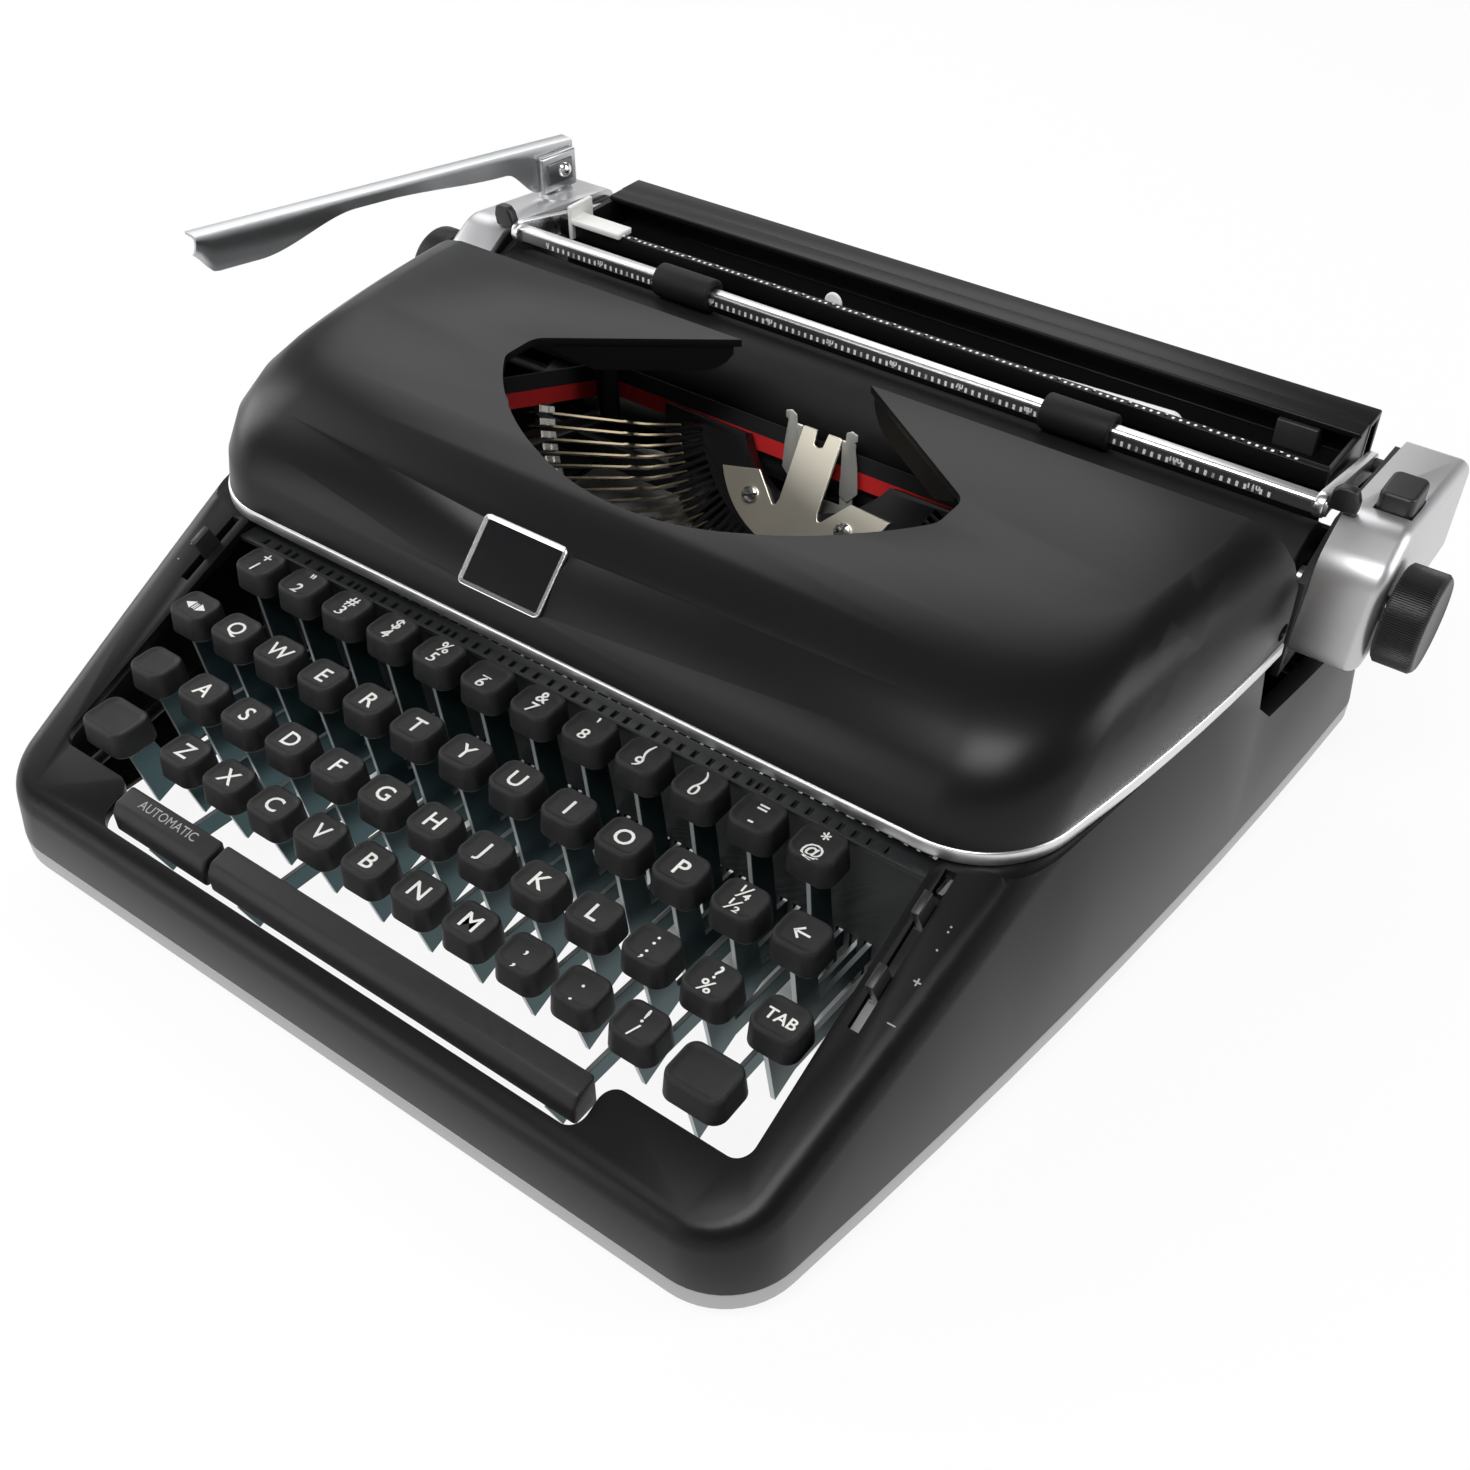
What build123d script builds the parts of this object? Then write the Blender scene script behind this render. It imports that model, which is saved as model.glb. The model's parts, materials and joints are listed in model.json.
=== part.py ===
"""Manual portable typewriter: body, hinged top cover, keyboard, type basket and sliding carriage.

Millimetres, +Z up. X = 0 is the middle plane of the machine and Z = 0 the table. Places along Y are
given as a distance behind the front edge of the base, or before the rear edge of the paper table.
"""

import math
import os

from build123d import *

os.makedirs("parts", exist_ok=True)

# Overall sizes and the base outline
overall_depth = 339.0
front_y = -overall_depth / 2
rear_y = overall_depth / 2
base_depth = overall_depth - 23.0
front_half = 141.0
rear_half = 178.0
side_bow = 5.5
front_corner = 24.0
rear_corner = 14.0
foot_height = 7.0
foot_radius = 8.0
foot_inset = 13.0
foot_setback = 16.0
foot_taper = 6.0
trim_height = 7.0
trim_wall = 3.2
side_lean = 7.0
body_wall = 3.0
running_gap = 0.3
seat_gap = 0.2

# Deck of the body, seen from the side
nose_z = 31.5
deck_z = 76.0
deck_top_y = front_y + 108.0
wall_drop_y = rear_y - 113.0
rear_wall_z = 46.0
rear_wall_start_z = 52.0
rear_step = 8.0
ridge_round = 8.0
ledge_width = 15.0

# Keyboard well
well_half = 128.0
well_front_y = front_y + 22.0
well_rear_y = front_y + 108.0
bay_front_y = front_y + 8.5
well_corner = 5.0

# Top cover
cover_front_y = front_y + 104.0
cover_rear_y = rear_y - 106.5
cover_front_half = front_half + 6.0
cover_rear_half = rear_half - 11.0
cover_bow = 2.5
cover_corner = 30.0
cover_wall = 2.6
cover_top_z = 116.0
cover_trim_height = 4.6
cover_front_round = 58.0
cover_side_round = 19.0
cover_pivot_y = rear_y - 109.5
cover_pivot_z = 86.0
cover_pin_radius = 2.5
hinge_thick = 3.0
hinge_gap = 3.0
hinge_foot = 22.0
hinge_ear = 4.0
hinge_back = 6.0
window_half = 80.0
window_front_y = front_y + 138.0
window_corner_y = rear_y - 159.0
window_gap_half = 21.0
badge_width = 31.0
badge_height = 22.0
badge_thick = 1.6
badge_corner = 2.0
badge_share = 0.52
badge_seat = 1.4
badge_x = -19.0
trim_proud = 0.6
window_corner = 14.0
window_depth = 15.0

# Keyboard: rows run from the number row at the back to the lowest row at the front
key_pitch = 19.0
row_y = [front_y + 92.7, front_y + 72.3, front_y + 52.6, front_y + 36.0]
row_z = [74.2, 65.2, 56.9, 49.0]
row_first_x = [-108.5, -99.3, -93.8, -85.0]
row_count = [12, 11, 11, 10]
row_name = ["number_row", "upper_row", "home_row", "lower_row"]
key_width = 15.2
key_depth = 13.6
key_height = 8.5
key_corner = 4.2
key_draw = 1.0
lever_thick = 1.5
lever_front_z = 29.5
low_lever_z = 23.5
lever_bar = 6.5
lever_stem = 9.0
fulcrum_y = rear_y - 103.0
fulcrum_z = 14.0
fulcrum_radius = 2.0
lever_eye = 4.6
shift_width = 19.0
shift_depth = 15.5
left_shift_out = 10.0
right_shift_out = 3.0
left_shift_lever_out = 1.2
shift_forward = 2.5
lock_out = 3.0
tab_out = 2.0
shift_bar_y = rear_y - 149.0
shift_bar_z = 7.5
shift_bar_radius = 2.0
shift_bar_web = 7.0
space_length = 135.0
space_centre_x = 16.5
space_y = front_y + 16.2
space_depth = 9.0
space_z = 41.0
space_height = 10.0
space_rise = 1.5
space_nose = 2.0
space_brow = 3.0
space_lever_shift = 7.05
auto_length = 40.0
bar_gap = 1.5
auto_centre_x = space_centre_x - (space_length + auto_length) / 2 - bar_gap
bay_gap = 3.0
bay_left_x = auto_centre_x - auto_length / 2 - bay_gap
bay_right_x = space_centre_x + space_length / 2 + bay_gap

# Chassis
plate_thick = 1.5
plate_opening_half = front_half - 12.0
plate_front_y = front_y + 7.0
plate_rear_y = rear_y - 39.0
side_plate_x = 130.0
side_plate_thick = 2.0
side_plate_front_y = front_y + 104.0
side_plate_rear_y = rear_y - 33.0
side_step_y = rear_y - 103.0
side_step_run = 8.0
side_plate_z = 60.0
side_plate_flange = 12.0
screw_radius = 1.5
screw_head_radius = 2.8
screw_head_height = 2.0
screw_count = 4
comb_y = front_y + 106.0
comb_thick = 1.5
comb_low_z = 9.0
comb_top_z = 71.5
comb_slot = 2.6
comb_slot_low_z = 10.6
comb_slot_high_z = 29.5
comb_shelf = 5.5
comb_notch = 1.6
comb_notch_depth = 3.0
rail_y = rear_y - 40.0
rail_seat_z = 46.0
rail_width = 12.0
rail_height = 8.0
rail_half = 150.0
rail_groove = 1.2
crossmember_y = rear_y - 98.0
crossmember_thick = 3.0
crossmember_low_z = 38.0
crossmember_height = 10.0
basket_rod_x = 35.0
basket_rod_radius = 2.5
basket_rod_low = 51.9
basket_rod_high = 25.0
rod_foot_y = rear_y - 111.0
rod_foot_height = 5.0
boss_width = 10.0
boss_low = 36.0
boss_high = 26.0
boss_depth = 8.0
rod_standoff = 4.2

# Type basket: the segment leans back and every bar strikes the print point
platen_y = rear_y - 71.5
platen_z = 79.0
platen_radius = 17.5
segment_tilt = 32.0
strike_gap = 0.4
plate_lift = 4.0
guide_thick = 1.2
guide_radius = 37.2
guide_centre_drop = 13.0
guide_ear_drop = 27.0
guide_tongue_half = 6.5
guide_tongue_drop = 4.2
guide_window_radius = 23.0
segment_inner = 34.0
segment_outer = 66.0
segment_thick = 6.0
segment_land = 2.0
segment_set_back = 1.0
slot_inner = 50.6
slot_width = 1.6
bar_count = 44
bar_span = 136.0
bar_length = 62.0
bar_pivot_depth = 3.0
bar_thick = 1.0
bar_width = 3.0
bar_standoff = 6.0
bar_bend = 12.0
bar_eye = 2.4
bar_rest_angle = 102.0
slug_width = 3.0
slug_length = 7.0
slug_back = 1.0

# Ribbon, spools and the vibrator that lifts the ribbon at the print point
spool_x = 119.0
spool_y = rear_y - 153.0
spool_radius = 23.0
spool_flange = 1.2
wound_radius = 16.0
spindle_radius = 3.0
cup_radius = 24.5
cup_wall = 1.2
cup_height = 6.0
post_x = 92.0
post_y = rear_y - 96.4
post_radius = 4.0
post_rise = 24.0
ribbon_width = 13.0
ribbon_thick = 0.4
ribbon_z = 66.0
vibrator_thick = 1.0
vibrator_low_z = 37.0
vibrator_top_z = 84.0
vibrator_half = 13.0
vibrator_finger = 5.0
vibrator_fork_z = 58.0

# Carriage
platen_half = 158.0
shaft_radius = 4.0
knob_radius = 15.5
knob_width = 12.5
knob_outer_x = 199.0
knob_flutes = 60
flute_radius = 0.5
knob_rim = 1.4
knob_taper = 40.0
end_plate_thick = 2.5
end_inner_x = 164.0
end_outer_x = 185.0
end_front_y = rear_y - 91.0
end_rear_y = rear_y - 3.0
end_low_z = 62.0
end_wall = 2.5
cover_crown_z = 103.0
end_corner = 5.0
end_edge_round = 4.0
brow_round = 14.0
cover_tail_z = 96.0
beam_thick = 2.7
beam_low_z = 48.0
end_plate_top_z = 97.0
feed_radius = 6.0
feed_gap = 0.4
feed_spread = 30.0
feed_half = 130.0
feed_journal = 2.0
bail_y = rear_y - 66.0
bail_z = 102.2
bail_radius = 3.0
bail_half = 160.0
bail_arm_x = 156.0
bail_arm_thick = 3.0
bail_arm_width = 8.0
bail_pivot_y = rear_y - 19.0
bail_pivot_z = 92.0
bail_pin_radius = 2.5
bail_tab_z = 104.2
bail_tab_thick = 1.8
bail_tab_width = 12.0
bail_ear_thick = 4.0
bail_ear_height = 6.0
bail_tab_depth = 13.0
bail_roller_radius = 6.0
bail_roller_x = 78.0
bail_roller_length = 24.0
table_front_y = rear_y - 46.0
table_z = 101.0
table_thick = 2.5
table_half = 153.0
table_low_half = 161.2
table_wall_z = 100.0
table_wall_low_z = 70.0
table_low_z = 62.0
table_step_z = 82.0
trough_width = 32.0
trough_z = 86.0
rest_bar_thick = 3.0
rest_bar_low_z = 96.0
rest_bar_height = 7.0
lever_pivot_x = -174.0
lever_pivot_y = rear_y - 27.0
lever_pin_radius = 3.0
lever_hub_radius = 7.0
lever_hub_low_z = 101.5
lever_hub_top_z = 117.0
lever_head_radius = 4.5
lever_head_height = 2.0
lever_tip_x = -194.8
lever_tip_y = rear_y - 183.5
lever_tip_z = 134.0
lever_sheet = 1.6
lever_flange = 5.0
paddle_low_z = 118.0
paddle_length = 34.0
paper_guide_x = -147.0
paper_guide_width = 20.0
paper_guide_wall = 1.8
paper_guide_rise = 5.0
support_pivot_x = 97.0
support_set = 7.0
support_length = 52.0
support_z = 94.0
support_thick = 3.0
support_root = 4.0
support_tip = 2.2
support_pin_radius = 2.0
release_x = 176.0
release_y = rear_y - 51.0
release_width = 11.0
release_depth = 15.0
release_low_z = 94.0
release_top_z = 108.0

# Small levers in slots beside the keyboard well, sliding along the deck slope
deck_lever_x = 133.0
deck_lever_thick = 2.4
deck_lever_length = 7.0
deck_lever_rise = 7.0
deck_lever_collar = 7.0
deck_lever_plate = 2.0
deck_lever_travel = 5.0
deck_lever_gap = 0.4
selector_y = front_y + 92.0
touch_y = front_y + 92.0
tab_lever_y = front_y + 72.0


def base_outline(inset):
    """Plan of the base: straight front and rear, bowed sides that spread to the rear."""
    low = front_y + inset
    high = front_y + base_depth - inset
    middle_x = (front_half + rear_half) / 2 + side_bow - inset
    with BuildSketch() as plan:
        with BuildLine():
            Line((-(front_half - inset), low), (front_half - inset, low))
            ThreePointArc((front_half - inset, low), (middle_x, (low + high) / 2), (rear_half - inset, high))
            Line((rear_half - inset, high), (-(rear_half - inset), high))
            ThreePointArc(
                (-(rear_half - inset), high), (-middle_x, (low + high) / 2), (-(front_half - inset), low)
            )
        make_face()
        fillet(plan.vertices().group_by(Axis.Y)[0], front_corner - inset)
        fillet(plan.vertices().group_by(Axis.Y)[-1], rear_corner - inset)
    return plan.sketch


def on_ridge(point, drop):
    """Whether an edge centre lies on the ridge round the outside of the sloping deck."""
    slope_z = nose_z - drop + (deck_z - nose_z) * (point.Y - front_y) / (deck_top_y - front_y)
    return point.Y < deck_top_y - seat_gap and abs(point.Z - slope_z) < body_wall / 2


def body_solid(inset, drop):
    """Solid under the deck: leaning walls cut off by the side view of the deck."""
    low_z = foot_height + trim_height
    slope = (deck_z - nose_z) / (deck_top_y - front_y)
    reach = 2 * rear_half
    with BuildPart() as solid:
        with BuildSketch(Plane.XY.offset(low_z - drop)):
            add(base_outline(inset))
        with BuildSketch(Plane.XY.offset(deck_z + body_wall)):
            add(base_outline(inset + side_lean))
        loft(ruled=True)
        with BuildSketch(Plane.YZ):
            with BuildLine():
                Polyline(
                    (front_y - reach, -reach),
                    (front_y + base_depth + reach, -reach),
                    (front_y + base_depth + reach, rear_wall_z - drop),
                    (front_y + base_depth, rear_wall_z - drop),
                    (wall_drop_y + rear_step, rear_wall_start_z - drop),
                    (wall_drop_y - drop, rear_wall_start_z + rear_step - drop),
                    (wall_drop_y - drop, deck_z - drop),
                    (deck_top_y, deck_z - drop),
                    (front_y - reach, nose_z - drop - slope * reach),
                    close=True,
                )
            make_face()
        extrude(amount=reach, both=True, mode=Mode.INTERSECT)
        fillet(solid.edges().filter_by(lambda edge: on_ridge(edge.center(), drop)), ridge_round - inset)
    return solid.part


def cover_side_half(y):
    """Half-width of the cover's lower edge at a place along Y."""
    share = (y - cover_front_y) / (cover_rear_y - cover_front_y)
    return cover_front_half + (cover_rear_half - cover_front_half) * share


def cover_plan(inset, front_in, side_in, rear_extra):
    """One level of the cover: rounded front corners, bowed sides, open straight rear."""
    low = cover_front_y + front_in + inset
    high = cover_rear_y + rear_extra
    low_half = cover_side_half(low) - side_in - inset
    high_half = cover_side_half(high) - side_in - inset
    middle_half = (low_half + high_half) / 2 + cover_bow
    with BuildSketch() as plan:
        with BuildLine():
            Line((-low_half, low), (low_half, low))
            ThreePointArc((low_half, low), (middle_half, (low + high) / 2), (high_half, high))
            Line((high_half, high), (-high_half, high))
            ThreePointArc((-high_half, high), (-middle_half, (low + high) / 2), (-low_half, low))
        make_face()
        fillet(plan.vertices().group_by(Axis.Y)[0], cover_corner - inset)
    return plan.sketch


def cover_solid(inset, rear_extra):
    """Domed solid of the cover: a long round at the front and a shorter one along the sides."""
    low_z = deck_z + seat_gap + cover_trim_height
    height = cover_top_z - inset - low_z
    with BuildPart() as solid:
        if inset > 0:
            with BuildSketch(Plane.XY.offset(low_z - cover_trim_height)):
                add(cover_plan(inset, 0, 0, rear_extra))
        for share in (0.0, 0.3, 0.55, 0.75, 0.88, 0.96, 1.0):
            level = low_z + height * share
            front_in = cover_front_round * (1 - math.sqrt(1 - share**2))
            over = max(0.0, level - (cover_top_z - inset - cover_side_round)) / cover_side_round
            side_in = cover_side_round * (1 - math.sqrt(max(0.0, 1 - over**2)))
            with BuildSketch(Plane.XY.offset(level)):
                add(cover_plan(inset, front_in, side_in, rear_extra))
        loft(ruled=True)
    return solid.part


def row_keys(row):
    """X of every typing key in a row."""
    return [row_first_x[row] + key_pitch * column for column in range(row_count[row])]


def keytop(x, y, z, width, depth):
    """Moulded key cap with rounded corners and drawn-in sides; z is its upper face."""
    with BuildPart() as cap:
        for level, draw in ((z - key_height, 0), (z, key_draw)):
            with BuildSketch(Plane((x, y, level))):
                RectangleRounded(width - 2 * draw, depth - 2 * draw, key_corner - draw)
        loft(ruled=True)
    return cap.part


def key_lever(x, y, top_z, bar_front_z):
    """Stamped steel lever: a stem under the key, a pointed toe and a bar back to the fulcrum eye."""
    fall = (bar_front_z + lever_bar / 2 - fulcrum_z) / (fulcrum_y - front_y)
    bar_z = bar_front_z + lever_bar / 2 - fall * (y - front_y)
    with BuildPart() as lever:
        with BuildSketch(Plane.YZ.offset(x - lever_thick / 2)):
            with BuildLine():
                Polyline(
                    (y - lever_stem / 2, top_z),
                    (y + lever_stem / 2, top_z),
                    (y + lever_stem, bar_z + lever_bar / 2),
                    (fulcrum_y, fulcrum_z + lever_bar / 2),
                    (fulcrum_y, fulcrum_z - lever_bar / 2),
                    (y + lever_stem, bar_z - lever_bar / 2),
                    (y, bar_z - lever_bar),
                    close=True,
                )
            make_face()
            with Locations((fulcrum_y, fulcrum_z)):
                Circle(lever_eye)
                Circle(fulcrum_radius + running_gap, mode=Mode.SUBTRACT)
        extrude(amount=lever_thick)
    return lever.part


def save(piece, name):
    """Label a finished piece and write its file."""
    piece.part.label = name
    export_step(piece.part, f"parts/{name}.step")


# Base: rubber feet, bottom plate, trim band and the moulded body
foot_places = [
    (front_half - foot_inset, front_y + foot_setback),
    (-(front_half - foot_inset), front_y + foot_setback),
    (rear_half - 2 * foot_inset, front_y + base_depth - 2 * foot_inset),
    (-(rear_half - 2 * foot_inset), front_y + base_depth - 2 * foot_inset),
]

screw_step = (side_plate_rear_y - side_plate_front_y - 2 * side_plate_flange) / (screw_count - 1)
screw_x = side_plate_x + side_plate_thick + (side_plate_flange - side_plate_thick) / 2
screw_places = [
    (side * screw_x, side_plate_front_y + side_plate_flange + screw_step * index)
    for side in (-1, 1)
    for index in range(screw_count)
]

with BuildPart() as rubber_feet:
    with BuildSketch():
        with Locations(*foot_places):
            Circle(foot_radius)
    extrude(amount=foot_height, taper=foot_taper)
save(rubber_feet, "rubber_feet")

with BuildPart() as bottom_plate:
    with BuildSketch(Plane.XY.offset(foot_height)):
        add(base_outline(trim_wall + running_gap))
        with Locations((0, (plate_front_y + plate_rear_y) / 2)):
            RectangleRounded(
                2 * plate_opening_half, plate_rear_y - plate_front_y, 2 * foot_radius, mode=Mode.SUBTRACT
            )
        with Locations(*screw_places):
            Circle(screw_radius, mode=Mode.SUBTRACT)
    extrude(amount=plate_thick)
save(bottom_plate, "bottom_plate")

with BuildPart() as base_trim:
    with BuildSketch(Plane.XY.offset(foot_height)):
        add(base_outline(0))
        add(base_outline(trim_wall), mode=Mode.SUBTRACT)
    extrude(amount=trim_height)
save(base_trim, "base_trim")

deck_levers = [
    ("ribbon_selector", -1, selector_y),
    ("touch_control", 1, touch_y),
    ("tab_lever", 1, tab_lever_y),
]
deck_lever_slot = deck_lever_length + 2 * deck_lever_travel + deck_lever_rise

with BuildPart() as body_shell:
    add(body_solid(0, 0))
    add(body_solid(body_wall, body_wall), mode=Mode.SUBTRACT)
    with BuildSketch(Plane.XY.offset(deck_z + body_wall)):
        with BuildLine():
            Polyline(
                (-well_half, well_front_y),
                (bay_left_x, well_front_y),
                (bay_left_x, bay_front_y),
                (bay_right_x, bay_front_y),
                (bay_right_x, well_front_y),
                (well_half, well_front_y),
                (well_half, well_rear_y),
                (-well_half, well_rear_y),
                close=True,
            )
        well = make_face()
        fillet(well.vertices().sort_by(Axis.Y)[:-2], well_corner)
    extrude(amount=-(deck_z + body_wall), mode=Mode.SUBTRACT)
    with BuildSketch(Plane.XY.offset(deck_z + body_wall)):
        with BuildLine():
            Polyline(
                (-well_half, deck_top_y - body_wall),
                (well_half, deck_top_y - body_wall),
                (cover_side_half(wall_drop_y) - ledge_width, wall_drop_y + body_wall),
                (-(cover_side_half(wall_drop_y) - ledge_width), wall_drop_y + body_wall),
                close=True,
            )
        make_face()
    extrude(amount=-deck_z / 2, mode=Mode.SUBTRACT)
    with BuildSketch(Plane.XY.offset(rear_wall_start_z + rear_step)):
        add(base_outline(side_lean + body_wall))
        with Locations((0, front_y)):
            Rectangle(3 * rear_half, 2 * (wall_drop_y - front_y), mode=Mode.SUBTRACT)
    extrude(amount=-rear_wall_start_z / 2, mode=Mode.SUBTRACT)
    with BuildSketch(Plane.XY.offset(nose_z)):
        for name, side, y in deck_levers:
            with Locations((side * deck_lever_x, y)):
                Rectangle(deck_lever_thick + 2 * deck_lever_gap, deck_lever_slot)
    extrude(amount=deck_z, mode=Mode.SUBTRACT)
save(body_shell, "body_shell")

# Top cover with its trim band, badge plate and hinges
badge_z = deck_z + seat_gap + cover_trim_height + badge_share * (
    cover_top_z - deck_z - seat_gap - cover_trim_height
)
badge_y = cover_front_y + cover_front_round * (1 - math.sqrt(1 - badge_share**2))
badge_slope = (
    cover_front_round
    / (cover_top_z - deck_z - seat_gap - cover_trim_height)
    * badge_share
    / math.sqrt(1 - badge_share**2)
)
badge_plane = Plane((badge_x, badge_y, badge_z), x_dir=(1, 0, 0), z_dir=(0, -1, badge_slope))

with BuildPart() as top_cover:
    add(cover_solid(0, 0))
    add(cover_solid(cover_wall, cover_wall), mode=Mode.SUBTRACT)
    with BuildSketch(Plane.XY.offset(cover_top_z + seat_gap)):
        with BuildLine():
            Line((window_gap_half, cover_rear_y + cover_wall), (window_half, window_corner_y + window_corner))
            Line((window_half, window_corner_y + window_corner), (window_half, window_corner_y))
            ThreePointArc(
                (window_half, window_corner_y), (0, window_front_y), (-window_half, window_corner_y)
            )
            Line((-window_half, window_corner_y), (-window_half, window_corner_y + window_corner))
            Line(
                (-window_half, window_corner_y + window_corner), (-window_gap_half, cover_rear_y + cover_wall)
            )
            Line((-window_gap_half, cover_rear_y + cover_wall), (window_gap_half, cover_rear_y + cover_wall))
        window = make_face()
        window_ends = window.vertices().filter_by(lambda v: abs(v.X) > window_gap_half + seat_gap)
        fillet(window_ends, window_corner / 2)
    extrude(amount=-window_depth, mode=Mode.SUBTRACT)
    with BuildSketch(badge_plane.offset(-badge_seat)):
        RectangleRounded(badge_width + 2 * seat_gap, badge_height + 2 * seat_gap, badge_corner)
    extrude(amount=2 * badge_seat, mode=Mode.SUBTRACT)
    with BuildSketch(Plane.YZ):
        with Locations((cover_pivot_y, cover_pivot_z)):
            Circle(cover_pin_radius + running_gap)
    extrude(amount=2 * cover_rear_half, both=True, mode=Mode.SUBTRACT)
save(top_cover, "top_cover")

with BuildPart() as cover_trim:
    with BuildSketch(Plane.XY.offset(deck_z + seat_gap)):
        add(cover_plan(-trim_proud, 0, 0, 0))
        add(cover_plan(cover_wall, 0, 0, cover_wall), mode=Mode.SUBTRACT)
    extrude(amount=cover_trim_height)
save(cover_trim, "cover_trim")

with BuildPart() as badge_plate:
    with BuildSketch(badge_plane.offset(-badge_seat)):
        RectangleRounded(badge_width, badge_height, badge_corner)
    extrude(amount=badge_thick)
save(badge_plate, "badge_plate")

hinge_x = cover_side_half(cover_pivot_y) - cover_wall - hinge_gap - hinge_thick
with BuildPart() as cover_hinges:
    with BuildSketch(Plane.YZ.offset(hinge_x - hinge_thick)):
        with BuildLine():
            Polyline(
                (wall_drop_y - hinge_foot, deck_z),
                (wall_drop_y, deck_z),
                (cover_pivot_y + hinge_ear, cover_pivot_z - hinge_thick),
                (cover_pivot_y + hinge_ear, cover_pivot_z + hinge_ear),
                (cover_pivot_y - hinge_back, cover_pivot_z + hinge_ear),
                close=True,
            )
        make_face()
    extrude(amount=hinge_thick)
    with BuildSketch(Plane.YZ.offset(hinge_x)):
        with Locations((cover_pivot_y, cover_pivot_z)):
            Circle(cover_pin_radius)
    extrude(amount=cover_wall + hinge_gap + hinge_thick - 2 * trim_proud)
    mirror(about=Plane.YZ)
save(cover_hinges, "cover_hinges")

# Keyboard: caps and levers of the four typing rows, with one key as a full typing train
typing_row = 2
typing_column = 5

for row in range(len(row_name)):
    columns = [x for column, x in enumerate(row_keys(row)) if (row, column) != (typing_row, typing_column)]
    with BuildPart() as row_caps:
        for x in columns:
            add(keytop(x, row_y[row], row_z[row], key_width, key_depth))
    save(row_caps, f"{row_name[row]}_keytops")
    with BuildPart() as row_levers:
        for x in columns:
            add(key_lever(x, row_y[row], row_z[row] - key_height, lever_front_z))
    save(row_levers, f"{row_name[row]}_levers")

typing_x = row_keys(typing_row)[typing_column]
with BuildPart() as typing_key:
    add(keytop(typing_x, row_y[typing_row], row_z[typing_row], key_width, key_depth))
    add(key_lever(typing_x, row_y[typing_row], row_z[typing_row] - key_height, lever_front_z))
save(typing_key, "typing_key")

# Function keys: cap place, lever place and row
margin_x = row_first_x[1] - key_pitch
backspace_x = row_first_x[1] + key_pitch * row_count[1]
lock_x = row_first_x[2] - key_pitch
tab_x = row_first_x[2] + key_pitch * row_count[2]
function_keys = {
    "margin_release_key": (margin_x, margin_x, 1),
    "backspace_key": (backspace_x, backspace_x, 1),
    "shift_lock_key": (lock_x - lock_out, lock_x, 2),
    "tabulator_key": (tab_x + tab_out, tab_x, 2),
}
for name, (cap_x, lever_x, row) in function_keys.items():
    with BuildPart() as function_key:
        add(keytop(cap_x, row_y[row], row_z[row], key_width, key_depth))
        add(key_lever(lever_x, row_y[row], row_z[row] - key_height, lever_front_z))
    save(function_key, name)

left_shift_x = row_first_x[3] - key_pitch - left_shift_out
right_shift_x = row_first_x[3] + key_pitch * row_count[3] + right_shift_out
left_shift_lever_x = row_first_x[3] - key_pitch - left_shift_lever_out
right_shift_lever_x = row_first_x[3] + key_pitch * row_count[3]
shift_y = row_y[3] - shift_forward
with BuildPart() as shift_keytops:
    for x in (left_shift_x, right_shift_x):
        add(keytop(x, shift_y, row_z[3], shift_width, shift_depth))
save(shift_keytops, "shift_keytops")

with BuildPart() as shift_levers:
    for x in (left_shift_lever_x, right_shift_lever_x):
        add(key_lever(x, shift_y, row_z[3] - key_height, low_lever_z))
    with BuildSketch(Plane.YZ.offset(left_shift_lever_x)):
        with Locations((shift_bar_y, shift_bar_z)):
            Circle(shift_bar_radius)
    extrude(amount=right_shift_lever_x - left_shift_lever_x)
    for x in (left_shift_lever_x, right_shift_lever_x):
        with BuildSketch(Plane.YZ.offset(x - lever_thick / 2)):
            with Locations((shift_bar_y, shift_bar_z + shift_bar_web / 2)):
                Rectangle(3 * shift_bar_radius, shift_bar_web)
        extrude(amount=lever_thick)
save(shift_levers, "shift_levers")


def long_bar(centre_x, length):
    """Long moulded bar with a rounded front edge, at the height of the space bar."""
    with BuildPart() as bar:
        with BuildSketch(Plane.YZ.offset(centre_x - length / 2)):
            with BuildLine():
                Polyline(
                    (space_y - space_depth / 2, space_z - space_height),
                    (space_y + space_depth / 2, space_z - space_height),
                    (space_y + space_depth / 2, space_z + space_rise),
                    (space_y - space_depth / 2 + space_nose, space_z),
                    (space_y - space_depth / 2, space_z - space_brow),
                    close=True,
                )
            make_face()
        extrude(amount=length)
    return bar.part


space_lever_x = [
    row_first_x[0] + key_pitch * column - space_lever_shift for column in (4, 10)
]
auto_lever_x = row_first_x[0] + key_pitch * 2 - space_lever_shift
with BuildPart() as space_bar:
    add(long_bar(space_centre_x, space_length))
save(space_bar, "space_bar")

with BuildPart() as space_bar_arms:
    for x in space_lever_x:
        add(key_lever(x, space_y, space_z - space_height, low_lever_z))
save(space_bar_arms, "space_bar_arms")

with BuildPart() as automatic_key:
    add(long_bar(auto_centre_x, auto_length))
    add(key_lever(auto_lever_x, space_y, space_z - space_height, low_lever_z))
save(automatic_key, "automatic_key")


# Chassis: side plates on the bottom plate, the lever comb and fulcrum, crossmember and carriage rail
lever_places = [x for row in range(len(row_name)) for x in row_keys(row)]
lever_places += [lever_x for cap_x, lever_x, row in function_keys.values()]
lever_places += [left_shift_lever_x, right_shift_lever_x, auto_lever_x] + space_lever_x
chassis_z = foot_height + plate_thick

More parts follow.
